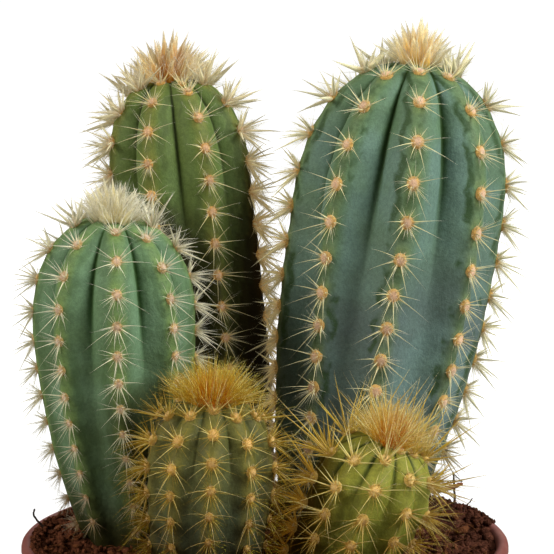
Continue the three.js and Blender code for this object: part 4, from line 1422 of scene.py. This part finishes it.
# Routes in millimetres, each with its half thickness, the first from its end in the soil.
TWIGS = {
    "twig_forked": (
        (0.4, [(46.6, 27.4, 103.6), (48.4, 28, 108.5), (48.1, 28, 113), (47.8, 28, 117.2)]),
        (0.8, [(44.0, 27, 112.3), (47.4, 27.6, 112.9), (50.4, 28.6, 113.7)]),
        (0.16, [(47.8, 28, 116.6), (49.0, 28.4, 115.2), (50.3, 29, 114.0)]),
        (0.14, [(44.8, 27, 113.4), (46.4, 27.6, 114.3), (48.0, 28, 114.7), (50.2, 29, 114.0)]),
    ),
    "twig_leaning": ((0.24, [(49.0, 22.6, 104.6), (50.4, 23.6, 108.2), (52.8, 25, 110.9)]),),
    "twig_hooked": (
        (
            0.36,
            [
                (-52.6, 9, 103.2),
                (-54.6, 9.4, 106.4),
                (-56.7, 9.9, 108.5),
                (-58, 10, 110.1),
                (-57.4, 10, 111.8),
            ],
        ),
    ),
}


def twig_piece(soil, name, rng):
    """A weathered twig: an uneven tapering rod along each of its routes."""
    batch = Batch()
    for thickness, route in TWIGS[name]:
        knots = np.array(route) * MM
        share = np.linspace(0, 1, 18)
        path = np.stack(
            [np.interp(share, np.linspace(0, 1, len(knots)), knots[:, i]) for i in range(3)], -1
        )
        for _ in range(3):
            path[1:-1] = (path[:-2] + 2 * path[1:-1] + path[2:]) / 4
        path[1:-1] += rng.normal(0, 0.04 * MM, path[1:-1].shape)
        radii = thickness * MM * mixed(1.0, 0.55, share) * rng.uniform(0.85, 1.15, len(share))
        points, faces, _ = tubes(path[None], radii[None], 9)
        points = points + rng.normal(0, 0.03 * MM, points.shape)
        plank = float(thickness > 0.6)
        batch.add(points, faces, kind=plank, shade=0.3 + 0.7 * plank, wet=0.0)
    return batch.piece(name + "_bark", twig_material(soil), "twig_bark", name)


# ---- Shader groups ----


class Wiring:
    """Adds nodes to a tree, each fed with values or with other nodes' outputs."""

    def __init__(self, tree):
        self.tree = tree

    def add(self, kind, feeds=None, **settings):
        node = self.tree.nodes.new("ShaderNode" + kind)
        node.location.x = 190 * len(self.tree.nodes)
        for key, value in settings.items():
            setattr(node, key, value)
        for key, value in (feeds or {}).items():
            self.feed(node.inputs[key], value)
        return node

    def feed(self, socket, value):
        if isinstance(value, bpy.types.NodeSocket):
            self.tree.links.new(value, socket)
        else:
            socket.default_value = value

    def math(self, operation, *values, clamp=False):
        feeds = dict(enumerate(values))
        return self.add("Math", feeds, operation=operation, use_clamp=clamp).outputs[0]

    def times(self, *values):
        product = values[0]
        for value in values[1:]:
            product = self.math("MULTIPLY", product, value)
        return product

    def plus(self, value, factor, base):
        """The base and the value times the factor."""
        return self.math("MULTIPLY_ADD", value, factor, base)

    def span(self, value, low, high, least=0.0, most=1.0):
        """Least below low, most above high, and an even rise between them."""
        feeds = dict(enumerate((value, low, high, least, most)))
        return self.add("MapRange", feeds, interpolation_type="SMOOTHSTEP").outputs[0]

    def mix(self, share, first, second, blend="MIX"):
        feeds = {0: share, 6: first, 7: second}
        return self.add("Mix", feeds, data_type="RGBA", blend_type=blend).outputs[2]

    def noise(self, size, detail=2.0, roughness=0.5, stretch=None):
        """Noise from 0 to 1 with bumps of that size in millimetres."""
        where = self.add("TexCoord").outputs["Object"]
        if stretch:
            where = self.add("Mapping", {"Vector": where, "Scale": stretch}).outputs[0]
        feeds = {
            "Vector": where,
            "Scale": 1 / (size * MM),
            "Detail": detail,
            "Roughness": roughness,
        }
        return self.add("TexNoise", feeds).outputs["Fac"]

    def shaded(self, colour, light):
        """A colour made lighter or darker by a factor."""
        grey = self.add("CombineColor", {0: light, 1: light, 2: light}).outputs[0]
        return self.mix(1.0, colour, grey, "MULTIPLY")

    def level(self):
        """The height above the ground."""
        return self.add("SeparateXYZ", {0: self.add("TexCoord").outputs["Object"]}).outputs[2]

    def lowness(self, top, most):
        """Most at the soil, and nothing from that height above it on."""
        return self.span(self.level(), FOOT + 6 * MM, FOOT + top, most, 0.0)

    def mark(self, name):
        """A mark of the mesh, 0 where the mesh has none."""
        return self.add("Attribute", attribute_name=name).outputs["Fac"]


def shader_group(name, inputs, outputs, wire):
    """The node group of that name, built once. wire(wiring, given) returns its outputs.

    inputs holds a value for each input, by its label, and outputs names the outputs. The one
    called Colour is a colour, and the others are numbers.
    """
    group = bpy.data.node_groups.get(name)
    if group:
        return group
    group = bpy.data.node_groups.new(name, "ShaderNodeTree")
    for label, default in inputs.items():
        kind = "NodeSocketFloat" if isinstance(default, float) else "NodeSocketColor"
        socket = group.interface.new_socket(label, in_out="INPUT", socket_type=kind)
        socket.default_value = default
    for label in outputs:
        kind = "NodeSocketColor" if label == "Colour" else "NodeSocketFloat"
        group.interface.new_socket(label, in_out="OUTPUT", socket_type=kind)
    wiring = Wiring(group)
    given = group.nodes.new("NodeGroupInput").outputs
    gives = group.nodes.new("NodeGroupOutput").inputs
    for label, value in wire(wiring, given).items():
        wiring.feed(gives[label], value)
    return group


def skin_group(inputs):
    """Ribbed skin: waxy flanks, olive and patchy along the crests, and painted shade in the
    grooves, beside neighbours and near the soil.
    """

    def wire(w, given):
        broad = w.noise(17, 2.0)
        patchy = w.noise(4.2, 3.0, 0.6)
        fine = w.noise(1.0, 3.0, 0.65)
        specks = w.noise(0.38, 2.0)
        rib, side, beat = w.mark("rib"), w.mark("side"), w.mark("beat")
        pad, high = w.mark("pad"), w.mark("high")
        uneven = w.math("SUBTRACT", patchy, 0.5)
        # The ground colour, with pale wax on the flanks and an olive tint along the crests.
        level = w.plus(w.math("SUBTRACT", broad, 0.5), 0.7, high)
        colour = w.mix(w.span(level, 0.3, 0.85), given["Lower"], given["Upper"])
        flank = w.span(side, 2.2 * MM, 5 * MM)
        cloud = w.times(w.span(broad, 0.36, 0.64), flank, given["Bloom amount"])
        colour = w.mix(cloud, colour, given["Bloom"])
        crest = w.span(w.plus(uneven, 3.0 * MM, side), 0.9 * MM, 3.2 * MM, 1.0, 0.0)
        close = w.span(pad, 1.2 * MM, 5.0 * MM, 0.85, 0.3)
        tinted = w.times(crest, close, w.span(high, 0.1, 0.9, 0.75, 1.0))
        colour = w.mix(tinted, colour, given["Tint"])
        # The wax is rubbed off half way between two pads. Along a wavy line beside the crest the
        # skin is darker too: partly rubbed-off wax, partly painted shade of the fold there.
        between = w.times(crest, w.span(beat, -0.9, 0.3, 1.0, 0.0), w.span(patchy, 0.44, 0.6))
        band = w.plus(uneven, 3.0 * MM, w.plus(beat, 0.6 * MM, 3.4 * MM))
        off_band = w.math("ABSOLUTE", w.math("SUBTRACT", side, band))
        line = w.span(off_band, 0.4 * MM, 1.5 * MM, 1.0, 0.0)
        line = w.times(line, w.span(w.noise(11, 3.0, 0.7), 0.44, 0.56), w.mark("worn_and_shaded_flank"))
        line = w.times(line, w.span(fine, 0.3, 0.55, 0.55, 1.0))
        rubbed = w.math("MAXIMUM", w.times(between, 0.6), line)
        colour = w.mix(w.times(rubbed, given["Worn amount"]), colour, given["Worn"])
        # Painted shade: the grooves are dark near the tip, and the dark fades out lower down.
        crease = w.span(w.plus(uneven, 0.1, rib), given["Crease place"], 0.97)
        fading = w.math("ADD", given["Crease end"], 0.3)
        fading = w.span(high, given["Crease end"], fading)
        crease = w.times(crease, fading, given["Crease amount"])
        colour = w.mix(crease, colour, given["Groove"])
        light = w.times(w.span(fine, 0.3, 0.7, 0.88, 1.1), w.span(specks, 0.3, 0.7, 0.93, 1.06))
        colour = w.shaded(colour, light)
        # Painted shade: the skin is darkened where a neighbour stands close and near the soil,
        # where the tint also stands for some dust.
        beside = w.times(w.span(w.mark("near"), 0.05, 0.75), given["Dusk side"])
        under = w.times(w.lowness(30 * MM, 1.0), given["Dusk foot"])
        colour = w.mix(w.math("MAXIMUM", beside, under), colour, given["Dusk"], "MULTIPLY")
        height = w.plus(line, -0.8, w.plus(specks, 0.35, fine))
        return {"Colour": colour, "Roughness": w.plus(cloud, 0.2, 0.6), "Height": height}

    return shader_group("Cactus skin", inputs, ("Colour", "Roughness", "Height"), wire)


def spine_group(inputs):
    """Spines and wool: warm at the root and in the heart of a tuft, paler along the shaft."""

    def wire(w, given):
        along, wool, heart = w.mark("along"), w.mark("wool"), w.mark("heart")
        airy = w.times(w.span(along, 0.2, 1.0, 0.0, 0.65), wool)
        airy = w.times(airy, w.span(w.noise(0.5, 2.0), 0.3, 0.7, 0.5, 1.2))
        colour = w.mix(w.span(along, 0.0, 0.16), given["Felt rim"], given["Spine colour"])
        colour = w.mix(w.span(along, 0.55, 1.0), colour, given["Spine tip"])
        fleece = w.mix(w.span(heart, 0.0, 0.5), given["Spine tip"], given["Wool"])
        fleece = w.mix(w.span(along, 0.0, 0.35, 0.4, 0.0), fleece, given["Felt rim"])
        fleece = w.mix(w.span(along, 0.35, 0.85, 0.0, 0.8), fleece, given["Spine tip"])
        colour = w.mix(wool, colour, fleece)
        warmth = w.times(w.span(heart, 0.45, 1.0), w.span(along, 0.2, 0.8, 1.0, 0.08))
        colour = w.mix(warmth, colour, given["Heart"])
        colour = w.shaded(colour, w.span(w.mark("shade"), 0.0, 1.0, 0.72, 1.18))
        # Painted shade near the soil, where the tint also stands for some dust.
        colour = w.mix(w.lowness(40 * MM, 0.85), colour, given["Dusk"], "MULTIPLY")
        rough = w.span(along, 0.0, 1.0, 0.8, 0.6)
        return {"Colour": colour, "Roughness": rough, "Alpha": w.math("SUBTRACT", 1.0, airy)}

    return shader_group("Spines and wool", inputs, ("Colour", "Roughness", "Alpha"), wire)


def felt_group(inputs):
    """Felt: a pinkish middle, a yellower rim and uneven wool."""

    def wire(w, given):
        wool = w.noise(0.35, 3.0, 0.65)
        edge = w.plus(w.math("SUBTRACT", wool, 0.5), 0.5, w.mark("edge"))
        colour = w.mix(w.span(edge, 0.3, 0.95), given["Felt"], given["Felt rim"])
        own = w.span(w.mark("shade"), 0, 1, 0.86, 1.1)
        colour = w.shaded(colour, w.times(w.span(wool, 0.25, 0.75, 0.8, 1.15), own))
        # Painted shade near the soil, where the tint also stands for some dust.
        colour = w.mix(w.lowness(34 * MM, 0.4), colour, given["Dusk"], "MULTIPLY")
        return {"Colour": colour, "Height": wool}

    return shader_group("Felt", inputs, ("Colour", "Height"), wire)


def dust_group(inputs):
    """Dust and splashes over a plain finish, thicker in patches and towards a height."""

    def wire(w, given):
        grain = w.noise(0.7, 3.0, 0.6)
        level = w.span(w.level(), given["From"], given["To"], 0.35, 1.0)
        mask = w.times(w.span(w.noise(9, 5.0, 0.62), 0.38, 0.72), level)
        mask = w.times(mask, w.span(grain, 0.25, 0.6, 0.5, 1.0))
        mask = w.math("MULTIPLY", mask, given["Amount"], clamp=True)
        return {
            "Colour": w.mix(mask, given["Plastic"], given["Dust"]),
            "Height": w.plus(mask, 0.6, w.times(grain, 0.25)),
        }

    return shader_group("Dust and splashes", inputs, ("Colour", "Height"), wire)


def grain_group(inputs):
    """Crumbly or fibrous grain: uneven colour, lighter fibres and a rough relief."""

    def wire(w, given):
        clods = w.noise(3.2, 5.0, 0.7)
        grit = w.noise(0.8, 4.0, 0.7)
        strands = w.noise(1.6, 3.0, 0.6, stretch=(1.0, 5.0, 2.0))
        light = w.times(w.span(clods, 0.25, 0.75, 0.45, 1.5), w.span(grit, 0.2, 0.8, 0.6, 1.4))
        light = w.times(light, w.span(w.mark("shade"), 0, 1, 0.6, 1.35))
        patchy = w.plus(w.math("SUBTRACT", w.noise(9, 3.0), 0.5), 0.8, w.mark("wet"))
        ground = w.mix(w.span(patchy, 0.1, 0.9), given["Dry"], given["Wet"])
        colour = w.shaded(ground, light)
        share = w.times(w.span(strands, 0.56, 0.7), given["Fibres"])
        fibrous = w.times(w.mark("kind"), w.span(grit, 0.2, 0.7, 0.55, 1.0))
        colour = w.mix(w.math("MAXIMUM", share, fibrous), colour, given["Fibre"])
        return {"Colour": colour, "Height": w.plus(grit, 0.5, clods)}

    return shader_group("Peat and bark", inputs, ("Colour", "Height"), wire)


# ---- Materials ----


def inputs_from(source, fields):
    """Values for the inputs of a shader group, labelled like the settings that they are from."""
    inputs = {}
    for field in fields.split():
        value = getattr(source, field)
        label = field.replace("_", " ").capitalize()
        inputs[label] = value if isinstance(value, float) else opaque(value)
    return inputs


def material_with(name, group, inputs, relief, roughness=0.5, specular=0.0, **more):
    """The material of that name, made once, with a shader group fed with its own values.

    more gives values for other inputs of the Principled shader, with _ for each space.
    """
    material = bpy.data.materials.get(name)
    if material:
        return material
    material = bpy.data.materials.new(name)
    material.use_nodes = True
    wiring = Wiring(material.node_tree)
    shader = material.node_tree.nodes["Principled BSDF"].inputs
    effect = wiring.add("Group", inputs, node_tree=group(inputs)).outputs
    wiring.feed(shader["Base Color"], effect["Colour"])
    wiring.feed(shader["Roughness"], effect["Roughness"] if "Roughness" in effect else roughness)
    if "Alpha" in effect:
        wiring.feed(shader["Alpha"], effect["Alpha"])
    # An emission strength makes the piece glow in its own colour: painted light that stands in for
    # light passing through thin wool and spines.
    if "Emission_Strength" in more:
        wiring.feed(shader["Emission Color"], effect["Colour"])
    more = {"Specular_IOR_Level": specular, **more}
    for label, value in more.items():
        shader[label.replace("_", " ")].default_value = value
    shader["Subsurface Radius"].default_value = (1, 0.93, 0.82)
    shader["Subsurface Scale"].default_value = 0.5 * MM
    if relief:
        bump = wiring.add("Bump", {"Height": effect["Height"], "Distance": relief})
        wiring.feed(shader["Normal"], bump.outputs[0])
    return material


def skin_material(plant):
    fields = (
        "upper lower groove tint bloom worn dusk bloom_amount worn_amount"
        " crease_amount crease_place crease_end dusk_side dusk_foot"
    )
    inputs = inputs_from(plant, fields)
    name = "skin " + plant.name
    return material_with(name, skin_group, inputs, relief=0.15 * MM, specular=0.2)


def spine_material(plant):
    inputs = inputs_from(plant, "spine_colour spine_tip wool heart felt_rim dusk")
    # The spines and wool glow a little in their own colour: painted light.
    more = {"Subsurface_Weight": 0.6, "Emission_Strength": 0.18}
    name = "spines " + plant.name
    return material_with(name, spine_group, inputs, relief=0, specular=0.12, **more)


def felt_material(plant):
    inputs = inputs_from(plant, "felt felt_rim dusk")
    # The felt glows a little in its own colour: painted light.
    more = {"Sheen_Weight": 0.2, "Subsurface_Weight": 0.5, "Emission_Strength": 0.12}
    name = "felt " + plant.name
    return material_with(name, felt_group, inputs, relief=0.2 * MM, roughness=0.95, **more)


def pot_material(pot):
    inputs = inputs_from(pot, "plastic dust")
    inputs |= {"Amount": 0.6, "From": pot.height - 2 * pot.band, "To": pot.height}
    finish = {"relief": 0.1 * MM, "roughness": 0.6, "specular": 0.2}
    return material_with("pot plastic", dust_group, inputs, **finish)


def grain_material(name, dry, wet, fibre, fibres, **finish):
    inputs = {"Dry": opaque(dry), "Wet": opaque(wet), "Fibre": opaque(fibre), "Fibres": fibres}
    return material_with(name, grain_group, inputs, **finish)


def soil_material(soil):
    colours = soil.peat, soil.wet_peat, soil.fibre
    finish = {"relief": 1.2 * MM, "roughness": 1.0}
    return grain_material("potting peat", *colours, fibres=0.4, **finish)


def twig_material(soil):
    colours = soil.bark, soil.bark, soil.fibre
    finish = {"relief": 0.4 * MM, "roughness": 0.9, "specular": 0.2}
    return grain_material("bark", *colours, fibres=0.1, **finish)


# ---- Stage ----

TARGET = Vector((2.96 * MM, 0, 172.18 * MM))
LIGHT_DISTANCE = 1.2
FLOOR_HALF = 9.0


def add_camera(stage):
    data = bpy.data.cameras.new("camera")
    data.sensor_width = 36
    data.lens = stage.lens
    data.clip_start, data.clip_end = 0.05, 60
    camera = placed("camera", data)
    back = Vector((0, -np.cos(stage.tilt), np.sin(stage.tilt)))
    camera.location = TARGET + back * stage.distance
    camera.rotation_euler = (np.pi / 2 - stage.tilt, 0, 0)
    bpy.context.scene.camera = camera


def add_light(name, power, bearing, height, size, colour):
    """A soft round light. Its bearing is from the camera's side round to the right.

    Both its bearing and its height are in degrees.
    """
    data = bpy.data.lights.new(name, "AREA")
    data.shape = "DISK"
    data.size = size
    data.energy = power
    data.color = colour
    light = placed(name, data)
    turn, rise = np.radians(bearing), np.radians(height)
    away = Vector((np.sin(turn) * np.cos(rise), -np.cos(turn) * np.cos(rise), np.sin(rise)))
    light.location = TARGET + LIGHT_DISTANCE * away
    light.rotation_euler = away.to_track_quat("Z", "Y").to_euler()


def add_floor(stage):
    """A plain pale floor. It glows for the camera alone, so that it fades to white far out."""
    batch = Batch()
    corners = FLOOR_HALF * np.array([(-1, -1, 0), (1, -1, 0), (1, 1, 0), (-1, 1, 0)])
    batch.add(corners - [0, 0, 0.2 * MM], [np.array([[0, 1, 2, 3]])])
    floor = placed("floor", batch.mesh("floor"))
    material = bpy.data.materials.new("floor")
    material.use_nodes = True
    shader = material.node_tree.nodes["Principled BSDF"].inputs
    shader["Base Color"].default_value = opaque(stage.floor)
    shader["Roughness"].default_value = 0.9
    shader["Specular IOR Level"].default_value = 0.1
    shader["Emission Color"].default_value = (1, 1, 1, 1)
    wiring = Wiring(material.node_tree)
    where = wiring.add("TexCoord").outputs["Object"]
    away = wiring.add("VectorMath", {0: where}, operation="LENGTH").outputs["Value"]
    glow = wiring.span(away, 0.12, 0.9, 0.45, 1.0)
    seen = wiring.add("LightPath").outputs["Is Camera Ray"]
    wiring.feed(shader["Emission Strength"], wiring.times(glow, seen))
    floor.data.materials.append(material)


def add_sky(strength):
    world = bpy.data.worlds.new("sky")
    bpy.context.scene.world = world
    world.use_nodes = True
    wiring = Wiring(world.node_tree)
    background = world.node_tree.nodes["Background"]
    seen = wiring.add("LightPath").outputs["Is Camera Ray"]
    wiring.feed(background.inputs["Strength"], wiring.span(seen, 0, 1, strength, 1.0))
    background.inputs["Color"].default_value = (1, 1, 1, 1)


# ---- Operators ----


def every_stem(context):
    return [Stem(plant) for plant in plants_of(context.scene.cactus_clump)]


class CACTUS_OT_skins(Operator):
    """Build the ribbed skins of the five stems"""

    bl_idname = "cactus.skins"
    bl_label = "Skins"

    def execute(self, context):
        stems = every_stem(context)
        for stem in stems:
            skin_piece(stem, stems)
        return {"FINISHED"}


class CACTUS_OT_pads(Operator):
    """Build the felt pads along the rib crests"""

    bl_idname = "cactus.pads"
    bl_label = "Felt pads"

    def execute(self, context):
        stems = every_stem(context)
        for index, stem in enumerate(stems):
            pad_piece(stem, Pads(stem, stems), draws(100 + index))
        return {"FINISHED"}


class CACTUS_OT_spines(Operator):
    """Build the spines of all the pads"""

    bl_idname = "cactus.spines"
    bl_label = "Spines"

    def execute(self, context):
        stems = every_stem(context)
        for index, stem in enumerate(stems):
            spine_piece(stem, Pads(stem, stems), stems, draws(200 + index))
        return {"FINISHED"}


class CACTUS_OT_tufts(Operator):
    """Build the woolly, spiny tips of the stems"""

    bl_idname = "cactus.tufts"
    bl_label = "Tufts"

    def execute(self, context):
        stems = every_stem(context)
        for index, stem in enumerate(stems):
            tuft_piece(stem, stems, draws(300 + index))
        return {"FINISHED"}


class CACTUS_OT_pot(Operator):
    """Build the nursery pot with its drain holes"""

    bl_idname = "cactus.pot"
    bl_label = "Pot"

    def execute(self, context):
        pot_piece(context.scene.cactus_clump.pot)
        return {"FINISHED"}


class CACTUS_OT_soil(Operator):
    """Build the soil with the crumbs, chips and fibres that lie on it"""

    bl_idname = "cactus.soil"
    bl_label = "Soil"

    def execute(self, context):
        clump = context.scene.cactus_clump
        soil_piece(clump)
        litter_piece(clump, every_stem(context), draws(401))
        return {"FINISHED"}


class CACTUS_OT_twigs(Operator):
    """Build the three twigs that stick out of the soil"""

    bl_idname = "cactus.twigs"
    bl_label = "Twigs"

    def execute(self, context):
        for index, name in enumerate(TWIGS):
            twig_piece(context.scene.cactus_clump.soil, name, draws(500 + index))
        return {"FINISHED"}


class CACTUS_OT_stage(Operator):
    """Set up the floor, the lights and the camera"""

    bl_idname = "cactus.stage"
    bl_label = "Stage"

    def execute(self, context):
        stage = context.scene.cactus_clump.stage
        add_floor(stage)
        add_sky(stage.sky)
        key = {"bearing": 66, "height": 34, "size": 0.6, "colour": (0.96, 1.0, 1.0)}
        fill = {"bearing": -66, "height": 28, "size": 0.6, "colour": (1.0, 0.97, 0.9)}
        back = {"bearing": 170, "height": 50, "size": 0.8, "colour": (1.0, 1.0, 1.0)}
        add_light("key", stage.key, **key)
        add_light("fill", stage.fill, **fill)
        add_light("back", stage.back, **back)
        add_camera(stage)
        context.scene.view_settings.view_transform = "Standard"
        return {"FINISHED"}


class CACTUS_PT_panel(Panel):
    """Lists the operators in the order in which they build the clump"""

    bl_label = "Cactus clump"
    bl_idname = "CACTUS_PT_panel"
    bl_space_type = "VIEW_3D"
    bl_region_type = "UI"
    bl_category = "Cactus clump"

    def draw(self, context):
        for operator in OPERATORS:
            self.layout.operator(operator.bl_idname)


OPERATORS = (
    CACTUS_OT_skins,
    CACTUS_OT_pads,
    CACTUS_OT_spines,
    CACTUS_OT_tufts,
    CACTUS_OT_pot,
    CACTUS_OT_soil,
    CACTUS_OT_twigs,
    CACTUS_OT_stage,
)
CLASSES = (
    CACTUS_PG_plant,
    CACTUS_PG_pot,
    CACTUS_PG_soil,
    CACTUS_PG_stage,
    CACTUS_PG_clump,
    *OPERATORS,
    CACTUS_PT_panel,
)


def register():
    for cls in CLASSES:
        bpy.utils.register_class(cls)
    bpy.types.Scene.cactus_clump = PointerProperty(type=CACTUS_PG_clump)


def unregister():
    del bpy.types.Scene.cactus_clump
    for cls in reversed(CLASSES):
        bpy.utils.unregister_class(cls)


def main():
    """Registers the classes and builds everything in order."""
    register()
    bpy.ops.cactus.skins()
    bpy.ops.cactus.pads()
    bpy.ops.cactus.spines()
    bpy.ops.cactus.tufts()
    bpy.ops.cactus.pot()
    bpy.ops.cactus.soil()
    bpy.ops.cactus.twigs()
    bpy.ops.cactus.stage()


if __name__ == "__main__":
    main()
